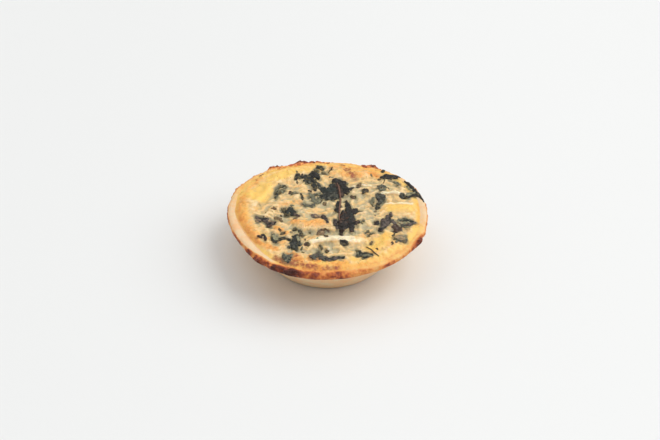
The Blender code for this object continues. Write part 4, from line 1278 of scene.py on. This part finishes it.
def flake_finish():
    """Crisp flakes of cheese and crust: their colour layer, with painted shade and light on their folds,
    mottled.
    """
    finish = Finish("crisp_flakes")
    own = finish.colour_layer("leaf_colour")
    fine = finish.noise(0.7 * MM, 3.0, 0.6)
    return finish.set(
        Base_Color=(0.75 + fine * 0.5).times(own),
        Roughness=0.5 + (fine - 0.5) * 0.3,
        Normal=finish.bump(fine, 0.2 * MM, 0.8),
        Subsurface_Weight=0.08,
        Subsurface_Radius=(1.0, 0.5, 0.25),
        Subsurface_Scale=0.001,
        Specular_IOR_Level=0.4,
    )


class QuichePastry(bpy.types.Operator):
    """Make the pressed pastry case"""

    bl_idname = "quiche.pastry"
    bl_label = "Pastry case"

    # Steps along the parts of the section, and how far inside the base the floor ends, in mm
    INSIDE_STEP, LIP_STEP, WALL_STEP, FOOT_STEP = 7.0, 0.45, 1.6, 0.5
    FLOOR_INSET = 0.4

    # Bands inside the rim's radius and under its height, in mm: the browned line along the rim, the
    # baked edge, the golden crest and the paler pastry below
    LINE_ACROSS, LINE_BELOW = (1.0, 0.3), (4.2, 3.2)
    EDGE_BELOW = (4.9, 3.6)
    EDGE_END = 0.3
    CREST_ACROSS, CREST_BELOW = (7.5, 3.0), (5.0, 4.0)
    UNDER_BELOW = (5.5, 3.5)
    UNDER_BAKE = 0.06

    # Uneven pastry: sizes and depths in mm of its dents and crumbs, and how much more at the edge
    DENT_SIZE, DENT_DEPTH = 9.0, 0.22
    CRUMB_SIZE, CRUMB_DEPTH = 1.9, 0.08
    CRUMB_LAYER = 5.0
    EDGE_CRUMB = 0.36
    CRAGGY_CRUMB, CRAGGY_RISE = 0.75, 0.25
    CRAGGY_BAKES = (0.45, 0.95)
    LIFT_SHARES = (0.06, 0.25)
    BAKE_MOST = 1.1
    GOLD_LEAST = 0.08

    def section(self, shape):
        """The case's section from the middle of the floor up, over the lip and down again."""
        sizes = shape.sizes
        floor_edge = (sizes.base_radius - self.FLOOR_INSET * MM, sizes.pastry)
        parts = (
            ([(0.0, sizes.pastry), floor_edge, shape.lip[0]], self.INSIDE_STEP),
            (shape.lip, self.LIP_STEP),
            ([shape.lip[-1], shape.foot[0]], self.WALL_STEP),
            (shape.foot, self.FOOT_STEP),
        )
        lines = [smooth_line(points, step * MM) for points, step in parts]
        joined_up = [point for line in lines[:-1] for point in line[:-1]]
        return [tuple(p) for p in [*joined_up, *lines[-1], Vector((0.0, 0.0))]]

    def execute(self, context):
        sizes = context.scene.quiche_sizes
        shape = Shape(sizes)
        case = spun(self.section(shape), sizes.rim_steps)
        points = read_points(case.data)
        radius = np.hypot(points[:, 0], points[:, 1])
        angle = np.arctan2(points[:, 1], points[:, 0])
        height = points[:, 2].copy()
        out, up = shape.press(radius, height, angle)
        rim, top = sizes.rim_radius, sizes.rim_height
        line = within(rim, self.LINE_ACROSS, radius) * within(top, self.LINE_BELOW, height)
        spread = (BAKE_SPREAD_LEAST + near_bearings(angle, BAKE_SPREAD, 2)) * MM
        edge = smooth_step(rim - spread, rim - self.EDGE_END * spread, radius)
        edge = edge * within(top, self.EDGE_BELOW, height)
        bake = np.clip(near_bearings(angle, RIM_BAKE, 2), 0.0, self.BAKE_MOST)
        pressed = round_points(out, up, angle)
        dents = fractal_field(pressed, self.DENT_SIZE * MM, 3)
        crumbs = fractal_field(pressed, self.CRUMB_SIZE * MM, 4, self.CRUMB_LAYER)
        lift = smooth_step(*self.LIFT_SHARES, height / top)
        swell = lift * (self.DENT_DEPTH * dents + self.CRUMB_DEPTH * crumbs)
        craggy = smooth_step(*self.CRAGGY_BAKES, bake) * edge
        swell += craggy * (self.CRAGGY_CRUMB * crumbs + self.CRAGGY_RISE)
        swell += edge * self.EDGE_CRUMB * crumbs
        out += swell * MM * (0.4 + 0.6 * edge)
        up += swell * MM * edge * 0.8
        write_points(case.data, round_points(out, up, angle))
        crest = within(rim, self.CREST_ACROSS, radius) * within(top, self.CREST_BELOW, height)
        gold = (self.GOLD_LEAST + near_bearings(angle, LIP_GOLD, 2)) * crest
        add_mask(case.data, "gold", gold)
        own = 0.4 * gold * (1.0 + 0.5 * dents) + bake * edge ** 1.1 * (0.85 + 0.3 * crumbs)
        own = np.maximum(own, line * (0.5 + 0.35 * dents + 0.25 * crumbs))
        own += within(top, self.UNDER_BELOW, height) * (1.0 - edge) * self.UNDER_BAKE
        add_mask(case.data, "bake", np.clip(own, 0.0, 1.0))
        shade_by_angle(60)
        material = pastry_finish(context.scene.quiche_colours)
        finish_piece(case, "quiche_pastry", material, "pastry", "pastry_case")
        return {"FINISHED"}


class QuicheFilling(bpy.types.Operator):
    """Make the baked egg and cheese filling"""

    bl_idname = "quiche.filling"
    bl_label = "Egg filling"

    # The rings below the edge: how far in and down from the edge and from the lip's inner bend, then
    # the shares of the wall's height and how far from the wall and up, in mm
    EDGE_STEP = (0.4, 0.5)
    BEND_STEP = (0.6, 0.3)
    WALL_SHARES = (1.0, 0.65, 0.3, 0.0)
    WALL_STEP = (0.45, 0.32)

    # Shares of the radius where the edge turns crusty, rounds down, loses its shading and is bare
    CRUST_SHARES, ROUND_SHARES = (0.8, 0.97), (0.9, 1.0)
    SHADE_SHARES, BARE_SHARES = (0.9, 0.97), (0.962, 0.998)
    CRUST = (2.4, 30.0, 0.5)
    ROUNDNESS = 1.6
    BARE_FULL = 3.0

    # How far the edge wanders, over which size, and how deep it lies in the lip, in mm
    WANDER, WANDER_SIZE, LAP_DEPTH = 0.5, 5.0, 0.1
    WANDER_CIRCLE = 0.06

    # The reach in cells over which near and far neighbours are averaged, and the heights in mm that
    # count as full relief and full swell
    NEAR_CELLS, FAR_CELLS = 3, 9
    FULL_RELIEF, FULL_SWELL = 0.16, 0.4

    def underside(self, shape, angle):
        """The rings that close the filling below, from its edge down into the case."""
        edge = shape.filling_edge(angle)
        (bend_radius, bend_height), (wall_radius, wall_height) = shape.lip[1], shape.lip[0]
        floor = (shape.sizes.base_radius - QuichePastry.FLOOR_INSET * MM, shape.sizes.pastry)
        rings = [
            (edge - self.EDGE_STEP[0] * MM, shape.lip_height(edge) - self.EDGE_STEP[1] * MM),
            (bend_radius - self.BEND_STEP[0] * MM, bend_height - self.BEND_STEP[1] * MM),
        ]
        for share in self.WALL_SHARES:
            radius = floor[0] + (wall_radius - floor[0]) * share - self.WALL_STEP[0] * MM
            height = floor[1] + (wall_height - floor[1]) * share + self.WALL_STEP[1] * MM
            rings.append((radius, height))
        return [(radius + 0 * angle, height + 0 * angle) for radius, height in rings]

    def execute(self, context):
        sizes = context.scene.quiche_sizes
        shape = Shape(sizes)
        cells = sizes.filling_cells
        deselect_all()
        bpy.ops.mesh.primitive_grid_add(x_subdivisions=cells, y_subdivisions=cells, size=2.0)
        filling = context.active_object
        points = read_points(filling.data)
        order = np.lexsort((points[:, 0], points[:, 1]))
        share, angle = square_to_disc(points[:, 0], points[:, 1])
        edge = shape.filling_edge(angle)
        circle = np.cos(angle) * self.WANDER_CIRCLE, np.sin(angle) * self.WANDER_CIRCLE
        edge = edge + noise_field(*circle, self.WANDER_SIZE * MM) * self.WANDER * MM
        lap_height = shape.lip_height(edge) - self.LAP_DEPTH * MM
        out, lap = shape.press(share * edge, lap_height, angle)
        x, y = out * np.cos(angle), out * np.sin(angle)
        masks = self.masks(shape, x, y)
        top = shape.filling_top(x, y) + sizes.edge
        top += shape.filling_detail(x, y, np.maximum(masks["orange"], masks["scorch"]))
        top += smooth_step(*self.CRUST_SHARES, share) * MM * layered(x, y, self.CRUST)
        z = top + (lap - top) * smooth_step(*self.ROUND_SHARES, share) ** self.ROUNDNESS
        write_points(filling.data, np.stack([x, y, z], axis=1))
        square = z[order].reshape(cells + 1, cells + 1)
        near, far = blurred(square, self.NEAR_CELLS), blurred(square, self.FAR_CELLS)
        shaded = 1.0 - smooth_step(*self.SHADE_SHARES, share)
        shades = ("relief", square - near, self.FULL_RELIEF), ("swell", near - far, self.FULL_SWELL)
        for name, values, full in shades:
            level = np.empty(len(z))
            level[order] = np.clip(values.ravel() / (full * MM), -1.0, 1.0)
            masks[name] = level * shaded
        bare = np.minimum(1.0, near_bearings(angle, BARE_LIP_MORE, 2) / self.BARE_FULL)
        masks["bare"] = smooth_step(*self.BARE_SHARES, share) * bare
        for name, values in masks.items():
            add_mask(filling.data, name, values)
        self.close_below(filling, shape)
        shade_by_angle(80)
        material = filling_finish(context.scene.quiche_colours)
        finish_piece(filling, "quiche_filling", material, "egg", "egg_filling")
        return {"FINISHED"}

    def close_below(self, filling, shape):
        """Extrudes the open edge ring by ring down into the case, and closes it."""
        mesh = filling.data
        start_edit("EDGE")
        bpy.ops.mesh.select_non_manifold()
        for ring in range(2 + len(self.WALL_SHARES)):
            bpy.ops.mesh.extrude_edges_move()
            bpy.ops.object.mode_set(mode="OBJECT")
            chosen = selected_points(mesh)
            points = read_points(mesh)
            angle = np.arctan2(points[chosen, 1], points[chosen, 0])
            radius, height = self.underside(shape, angle)[ring]
            out, up = shape.press(radius, height, angle)
            points[chosen] = round_points(out, up, angle)
            write_points(mesh, points)
            bpy.ops.object.mode_set(mode="EDIT")
        bpy.ops.mesh.edge_face_add()
        end_edit()

    def masks(self, shape, x, y):
        """Where the filling is yellow, browned, pale or green."""
        shifts = [WARP * MM * noise_field(x, y, WARP_SIZE * MM, layer) for layer in WARP_LAYERS]
        warp_x, warp_y = x + shifts[0], y + shifts[1]
        edge = shape.rim_radius(np.arctan2(y, x))
        size, layer = MIDDLE_PATCHES
        patchy = smooth_step(*MIDDLE_LEVELS, noise_field(x, y, size * MM, layer))
        radii = [radius * MM for radius in MIDDLE_RADII]
        middle = MIDDLE_GREEN * (1.0 - smooth_step(*radii, np.hypot(x, y))) * patchy
        green = np.maximum(spots(warp_x, warp_y, GREEN_SPOTS), middle)
        stain = np.zeros_like(x)
        leaves = [
            (strokes, 1.0, LEAF_HALO_AMOUNT) for layers in LEAVES.values() for _, strokes in layers
        ]
        scraps = [((stroke,), SCRAP_STAIN, 0.0) for _, _, stroke in SCRAPS]
        for strokes, amount, halo_amount in leaves + scraps:
            outside = -stroke_depth(warp_x / MM, warp_y / MM, strokes)
            stain = np.maximum(stain, amount * (1.0 - smooth_step(0.0, LEAF_STAIN, outside)))
            halo = 1.0 - smooth_step(HALO_START, LEAF_HALO, outside)
            green = np.maximum(green, halo_amount * halo)
        inwards = edge - np.hypot(warp_x, warp_y)
        ring = YELLOW_RING * smooth_step(*(depth * MM for depth in YELLOW_RING_BAND), inwards)
        gold = edge_band(warp_x, warp_y, edge, EDGE_GOLD)
        burnt = edge_band(warp_x, warp_y, edge, EDGE_SCORCH)
        return {
            "yellow": np.maximum(spots(warp_x, warp_y, YELLOW_SPOTS), ring),
            "orange": np.maximum(spots(warp_x, warp_y, ORANGE_SPOTS), gold),
            "scorch": np.maximum(spots(warp_x, warp_y, SCORCH_SPOTS), burnt),
            "cream": spots(warp_x, warp_y, CREAM_SPOTS),
            "green": green,
            "stain": stain,
        }


def stroke_depth(x, y, strokes):
    """How deep each place is inside the strokes, in mm, and below 0 outside them."""
    depth = np.full_like(x, -np.inf)
    for stroke in strokes:
        for (ax, ay, a_half), (bx, by, b_half) in zip(stroke, stroke[1:]):
            run_x, run_y = bx - ax, (by - ay) * VIEW_PRESS
            off_x, off_y = x - ax, (y - ay) * VIEW_PRESS
            share = (off_x * run_x + off_y * run_y) / (run_x * run_x + run_y * run_y)
            share = np.clip(share, 0.0, 1.0)
            gap = np.hypot(off_x - share * run_x, off_y - share * run_y)
            depth = np.maximum(depth, a_half + (b_half - a_half) * share - gap)
    return depth


def streaks(x, y, strokes, size, layer):
    """Noise drawn out along the first stroke."""
    (ax, ay, _), (bx, by, _) = strokes[0][0], strokes[0][-1]
    length = math.hypot(bx - ax, by - ay)
    cosine, sine = (bx - ax) / length, (by - ay) / length
    along = (x * cosine + y * sine) * STREAK_PRESS[0]
    return noise_field(along, (y * cosine - x * sine) * STREAK_PRESS[1], size, layer)


def ragged_depth(x, y, strokes, seed):
    """The depth inside the strokes once their outline is torn."""
    depth = stroke_depth(x, y, strokes) + WIDEN
    for size, amount in RAGGED:
        depth = depth + amount * streaks(x, y, strokes, size, seed * SEED_STEP + size)
    return depth


def keep_inside(obj, inside):
    """Deletes the faces outside the shape, fills cells that would touch only at a corner, and
    returns the points of the border."""
    mesh = obj.data
    count = len(mesh.polygons)
    centres = np.empty(count * 3)
    mesh.polygons.foreach_get("center", centres)
    centres = centres.reshape(-1, 3)
    kept = inside(centres[:, 0], centres[:, 1]) > 0.0
    columns = np.unique(np.round(centres[:, 0], 6), return_inverse=True)[1]
    rows = np.unique(np.round(centres[:, 1], 6), return_inverse=True)[1]
    cells = np.zeros((rows.max() + 1, columns.max() + 1), dtype=bool)
    cells[rows, columns] = kept
    for _ in range(CORNER_ROUNDS):
        a, b, c, d = cells[:-1, :-1], cells[:-1, 1:], cells[1:, :-1], cells[1:, 1:]
        corner = (a & d & ~b & ~c) | (b & c & ~a & ~d)
        for part in (a, b, c, d):
            part |= corner
    start_edit("FACE")
    bpy.ops.object.mode_set(mode="OBJECT")
    mesh.polygons.foreach_set("select", ~cells[rows, columns])
    bpy.ops.object.mode_set(mode="EDIT")
    bpy.ops.mesh.delete(type="FACE")
    start_edit("VERT")
    bpy.ops.mesh.select_non_manifold()
    bpy.ops.object.mode_set(mode="OBJECT")
    return selected_points(mesh)


def thin_layer(strokes, lift, colours, seed, trees, thickness):
    """One thin torn layer: a grid cut to the strokes' ragged outline, crumpled and laid on what is
    under it, then given its thickness."""
    ends = np.array([point for stroke in strokes for point in stroke])
    half = np.stack([ends[:, 2], ends[:, 2] / VIEW_PRESS], axis=1)
    low = (ends[:, :2] - half).min(axis=0) - MARGIN
    high = (ends[:, :2] + half).max(axis=0) + MARGIN
    columns, rows = (math.ceil(span / CELL) for span in high - low)
    deselect_all()
    bpy.ops.mesh.primitive_grid_add(x_subdivisions=columns, y_subdivisions=rows, size=2.0)
    obj = bpy.context.active_object
    points = read_points(obj.data)
    points[:, :2] = low + (points[:, :2] + 1.0) / 2.0 * (high - low)
    write_points(obj.data, points)
    border = keep_inside(obj, lambda a, b: ragged_depth(a, b, strokes, seed))
    points = read_points(obj.data)
    x, y = points[:, 0].copy(), points[:, 1].copy()
    here = ragged_depth(x[border], y[border], strokes, seed)
    slope_x = (ragged_depth(x[border] + PROBE, y[border], strokes, seed) - here) / PROBE
    slope_y = (ragged_depth(x[border], y[border] + PROBE, strokes, seed) - here) / PROBE
    pull = -here / np.maximum(slope_x**2 + slope_y**2, LEAST_SLOPE)
    x[border] += np.clip(pull * slope_x, -CELL, CELL)
    y[border] += np.clip(pull * slope_y, -CELL, CELL)

    def seeded(row):
        return noise_field(x, y, row[0], seed * row[1])

    depth = np.maximum(0.0, ragged_depth(x, y, strokes, seed))
    body = 1.0 - np.exp(-depth / EDGE_SOFTNESS)
    fold = 1.0 - 2.8 * np.abs(streaks(x, y, strokes, FOLD[0], seed * FOLD[1]))
    crease = 1.0 - 2.6 * np.abs(seeded(CREASE))
    curl = np.maximum(0.0, seeded(CURL))
    rise = lift * body * (0.35 + 0.5 * seeded(BROAD)) + 0.26 * min(1.3, lift + 0.3) * body * fold
    rise += 0.05 * body * crease + 0.9 * lift * curl * (1.0 - body) - 0.1
    reach = np.minimum(1.0, RIM_KEEP / np.maximum(1.0, np.hypot(x, y)))
    x, y = x * reach, y * reach
    z = ground_under(trees, x * MM, y * MM) + rise * MM
    amount, size = SHIFT
    for line, more in zip((x, y), SHIFT_SEEDS):
        line += amount * lift * noise_field(points[:, 0], points[:, 1], size, seed + more)
    write_points(obj.data, np.stack([x * MM, y * MM, z], axis=1))
    patch = smooth_step(-0.2, 0.4, seeded(PATCH) + 0.35 * (0.5 - body))
    # Painted light and shade: the colour is lightened on the ridges of the folds and creases and darkened
    # in their troughs
    tone = 1.0 + 0.5 * np.clip(0.7 * fold + 0.3 * crease, -1.0, 1.0)
    first, second = (np.array(paint(*tint)) for tint in colours)
    add_colours(obj.data, "leaf_colour", (first + (second - first) * patch[:, None]) * tone[:, None])
    bpy.ops.object.modifier_add(type="SOLIDIFY")
    solidify = obj.modifiers[-1]
    solidify.thickness = thickness
    solidify.offset = 1.0
    bpy.ops.object.modifier_apply(modifier=solidify.name)
    shade_by_angle(70)
    return obj


def joined(pieces):
    """Joins the pieces into the first one."""
    deselect_all()
    for piece in pieces:
        piece.select_set(True)
    bpy.context.view_layer.objects.active = pieces[0]
    if len(pieces) > 1:
        bpy.ops.object.join()
    return pieces[0]


def surface_trees():
    names = ("quiche_pastry", "quiche_filling")
    return [tree_of(bpy.data.objects[name]) for name in names]


def stem_tube(points, radius, colour, trees):
    """A thin stem that follows the surface, thinner towards its ends."""
    line = smooth_line(points, STEM_STEP)
    x, y = (np.array([p[i] for p in line]) * MM for i in (0, 1))
    z = ground_under(trees, x, y)
    count = 2 * STEM_BLUR + 1
    z = np.convolve(np.pad(z, STEM_BLUR, mode="edge"), np.ones(count) / count, mode="valid")
    z += radius * STEM_RISE * MM
    deselect_all()
    bpy.ops.curve.primitive_bezier_curve_add()
    obj = bpy.context.active_object
    curve = obj.data
    curve.splines.clear()
    spline = curve.splines.new("POLY")
    spline.points.add(len(line) - 1)
    for index, point in enumerate(spline.points):
        share = index / (len(line) - 1)
        point.co = (x[index], y[index], z[index], 1.0)
        point.radius = STEM_TIP + (1.0 - STEM_TIP) * math.sin(math.pi * share) ** 0.5
    curve.bevel_depth = radius * MM
    curve.bevel_resolution = 3
    curve.use_fill_caps = True
    bpy.ops.object.convert(target="MESH")
    obj = bpy.context.active_object
    bpy.ops.object.mode_set(mode="EDIT")
    end_edit(STEM_WELD)
    add_colours(obj.data, "leaf_colour", [paint(*colour)] * len(obj.data.vertices))
    shade_by_angle(60)
    return obj


class QuicheLeaves(bpy.types.Operator):
    """Make the wilted spinach leaves"""

    bl_idname = "quiche.leaves"
    bl_label = "Spinach leaves"

    def execute(self, context):
        trees = surface_trees()
        thickness = context.scene.quiche_sizes.leaf
        material = leaf_finish()
        for index, (name, layers) in enumerate(LEAVES.items()):
            parts = []
            for number, ((first, second, lift), strokes) in enumerate(layers):
                seed = LEAF_SEEDS[0] + LEAF_SEEDS[1] * index + number
                parts.append(thin_layer(strokes, lift, (first, second), seed, trees, thickness))
            piece = joined(parts)
            finish_piece(piece, name.replace("leaf_", "spinach_"), material, "leaf", name)
        return {"FINISHED"}


class QuicheScraps(bpy.types.Operator):
    """Make the scraps and specks of leaf, and the stems"""

    bl_idname = "quiche.scraps"
    bl_label = "Scraps and stems"

    # Specks: how many, their scatter from a leaf and how far out they may lie, the ranges of their
    # half-length and half-width, and their lift, in mm, and how thin and pointed they are
    COUNT = 60
    SCATTER = (6.0, 7.0)
    REACH = 46.0
    HALF = (0.15, 0.7)
    WIDTH = (0.18, 0.42)
    LIFT = 0.15
    THINNESS = 0.6
    TAPER = 0.8
    SHADES = (OLIVE, GREY_GREEN, MAROON, BLACK_BROWN, OLIVE, STEM_BROWN)

    def execute(self, context):
        trees = surface_trees()
        thickness = context.scene.quiche_sizes.leaf
        material = bpy.data.materials["wilted_leaf"]
        parts = []
        for index, (first, second, stroke) in enumerate(SCRAPS):
            seed = SCRAP_SEED + index
            colours = (first, second)
            parts.append(thin_layer((stroke,), SCRAP_LIFT, colours, seed, trees, thickness))
        finish_piece(joined(parts), "spinach_scraps", material, "leaf")
        finish_piece(joined(self.specks(trees, thickness)), "spinach_specks", material, "leaf")
        leaves = [obj for obj in bpy.data.objects if obj.name.startswith("spinach_")]
        trees += [tree_of(leaf) for leaf in leaves]
        stems = [stem_tube(points, radius, colour, trees) for points, radius, colour in STEMS]
        finish_piece(joined(stems), "spinach_stems", material, "leaf")
        return {"FINISHED"}

    def specks(self, trees, thickness):
        """Tiny flecks of leaf, more of them near the leaves."""
        draw = random.Random(11)
        homes = [layers[0][1][0][1] for layers in LEAVES.values()]
        parts = []
        while len(parts) < self.COUNT:
            home = draw.choice(homes)
            x, y = (home[i] + draw.gauss(0.0, self.SCATTER[i]) for i in (0, 1))
            heading = draw.uniform(0.0, math.pi)
            half = draw.uniform(*self.HALF)
            run_x, run_y = half * math.cos(heading), half * math.sin(heading)
            width = draw.uniform(*self.WIDTH)
            colours = (draw.choice(self.SHADES), draw.choice(self.SHADES))
            if math.hypot(x, y) > self.REACH:
                continue
            stroke = ((x - run_x, y - run_y, width), (x + run_x, y + run_y, width * self.TAPER))
            seed = SPECK_SEED + len(parts)
            thin = thickness * self.THINNESS
            parts.append(thin_layer((stroke,), self.LIFT, colours, seed, trees, thin))
        return parts


class QuicheFlakes(bpy.types.Operator):
    """Make the crisp flakes of cheese and crust along the back of the rim"""

    bl_idname = "quiche.flakes"
    bl_label = "Rim flakes"

    # Flakes: how many, where they lie, as the least baking and the last bearing, how closely they
    # keep to a baked place, their ranges of distance from the rim, half-length in degrees, half-width,
    # wander and lift, in mm, and their parts as turn and share of the width
    COUNT = 22
    LEAST_BAKE, LAST_BEARING = 0.6, 180
    CLOSENESS = 0.7
    INWARDS = (0.8, 3.2)
    HALF = (0.4, 1.6)
    WIDTH = (0.2, 0.45)
    WANDER = (-0.4, 0.4)
    LIFT = (0.1, 0.35)
    PARTS = ((-1.0, 0.6), (0.0, 1.0), (1.0, 0.5))
    SHADES = ((214, 128, 66), (178, 92, 50), (140, 66, 42), (104, 52, 38), (226, 156, 86))

    def execute(self, context):
        draw = random.Random(23)
        trees = surface_trees()
        sizes = context.scene.quiche_sizes
        shape = Shape(sizes)
        baked = [row for row in RIM_BAKE if row[2] > self.LEAST_BAKE and row[0] < self.LAST_BEARING]
        pieces = []
        for index in range(self.COUNT):
            bearing, spread, _ = draw.choice(baked)
            angle = math.radians(draw.gauss(bearing, spread * self.CLOSENESS))
            reach = float(shape.rim_radius(np.array([angle]))[0])
            reach = reach / MM - draw.uniform(*self.INWARDS)
            half = math.radians(draw.uniform(*self.HALF))
            width = draw.uniform(*self.WIDTH)
            colours = (draw.choice(self.SHADES), draw.choice(self.SHADES))
            stroke = []
            for turn, share in self.PARTS:
                out, here = reach + draw.uniform(*self.WANDER), angle + turn * half
                stroke.append((out * math.cos(here), out * math.sin(here), width * share))
            lift, seed = draw.uniform(*self.LIFT), FLAKE_SEED + index
            pieces.append(thin_layer((stroke,), lift, colours, seed, trees, sizes.leaf))
        finish_piece(joined(pieces), "rim_flakes", flake_finish(), "pastry")
        return {"FINISHED"}


class QuicheStage(bpy.types.Operator):
    """Make the table, the lights and the camera"""

    bl_idname = "quiche.stage"
    bl_label = "Table, lights and camera"

    # The camera: where it looks and from how far, in metres, how steeply, in degrees, and its lens
    AIM = (0.0014, 0.0, 0.02292)
    DISTANCE = 0.85
    ELEVATION = 36.0
    LENS = 85.0
    SENSOR = 36.0

    # Lights: name, the side they come from, power, spread in degrees and colour
    LIGHTS = (
        ("key_light", (1.15, 0.02, 1.15), 1.6, 60.0, (1.0, 0.99, 0.965)),
        ("top_light", (0.12, 0.3, 1.0), 0.95, 84.0, (0.99, 0.99, 0.98)),
        ("left_light", (-1.0, 0.1, 0.85), 0.42, 60.0, (1.0, 0.99, 0.975)),
    )
    WORLD_COLOUR = (0.98, 0.99, 1.0, 1.0)
    WORLD_STRENGTH = 0.375

    # The table: its size in metres, its roughness, and its painted light, a brightness that rises to the
    # right
    TABLE_SIZE = 8.0
    TABLE_ROUGHNESS = 0.7
    PAINTED_LIGHT_EDGE = (-0.22, 0.2)
    SOFT_LEAST, SOFT_MORE = 0.93, 0.05

    def execute(self, context):
        self.table(context)
        for light in self.LIGHTS:
            self.sun(*light)
        self.world(context)
        self.camera(context)
        context.scene.view_settings.view_transform = "Standard"
        return {"FINISHED"}

    def table(self, context):
        deselect_all()
        bpy.ops.mesh.primitive_plane_add(size=self.TABLE_SIZE, location=(0.0, 0.0, CASE_LOW.z))
        table = context.active_object
        table.name = "white_table"
        finish = Finish("white_table")
        across = finish.start.node("ShaderNodeSeparateXYZ", Vector=finish.place)
        # Painted light: the table's colour brightens towards the right, standing in for light that falls
        # more strongly on that side
        soft = self.SOFT_LEAST + across.rise(*self.PAINTED_LIGHT_EDGE) * self.SOFT_MORE
        tone = (*context.scene.quiche_colours.floor, 1.0)
        material = finish.set(Base_Color=soft.times(tone), Roughness=self.TABLE_ROUGHNESS)
        table.data.materials.append(material)

    def sun(self, name, place, power, spread, colour):
        """Even light from the side of the place given, as soft as its spread."""
        deselect_all()
        bpy.ops.object.light_add(type="SUN", location=place)
        lamp = bpy.context.active_object
        lamp.name = name
        lamp.data.energy = power
        lamp.data.angle = math.radians(spread)
        lamp.data.color = colour
        lamp.rotation_euler = (-Vector(place)).to_track_quat("-Z", "Y").to_euler()

    def world(self, context):
        world = bpy.data.worlds.new("studio")
        world.use_nodes = True
        background = world.node_tree.nodes["Background"]
        background.inputs["Color"].default_value = self.WORLD_COLOUR
        background.inputs["Strength"].default_value = self.WORLD_STRENGTH
        context.scene.world = world

    def camera(self, context):
        deselect_all()
        rise = math.radians(self.ELEVATION)
        back = Vector((0.0, -math.cos(rise), math.sin(rise)))
        bpy.ops.object.camera_add(location=Vector(self.AIM) + back * self.DISTANCE)
        camera = context.active_object
        camera.rotation_euler = (-back).to_track_quat("-Z", "Y").to_euler()
        camera.data.lens = self.LENS
        camera.data.sensor_width = self.SENSOR
        context.scene.camera = camera


class QuichePanel(bpy.types.Panel):
    """Lists the steps that make the quiche"""

    bl_idname = "VIEW3D_PT_quiche"
    bl_label = "Quiche"
    bl_space_type = "VIEW_3D"
    bl_region_type = "UI"
    bl_category = "Quiche"

    def draw(self, context):
        for group in (context.scene.quiche_sizes, context.scene.quiche_colours):
            box = self.layout.box()
            for name in group.__annotations__:
                box.prop(group, name)
        for step in STEPS:
            self.layout.operator(step.bl_idname)


STEPS = (QuichePastry, QuicheFilling, QuicheLeaves, QuicheScraps, QuicheFlakes, QuicheStage)
CLASSES = (QuicheSizes, QuicheColours, *STEPS, QuichePanel)


def register():
    for item in CLASSES:
        bpy.utils.register_class(item)
    bpy.types.Scene.quiche_sizes = bpy.props.PointerProperty(type=QuicheSizes)
    bpy.types.Scene.quiche_colours = bpy.props.PointerProperty(type=QuicheColours)


def unregister():
    del bpy.types.Scene.quiche_colours
    del bpy.types.Scene.quiche_sizes
    for item in reversed(CLASSES):
        bpy.utils.unregister_class(item)


def main():
    register()
    bpy.ops.quiche.pastry()
    bpy.ops.quiche.filling()
    bpy.ops.quiche.leaves()
    bpy.ops.quiche.scraps()
    bpy.ops.quiche.flakes()
    bpy.ops.quiche.stage()


if __name__ == "__main__":
    main()
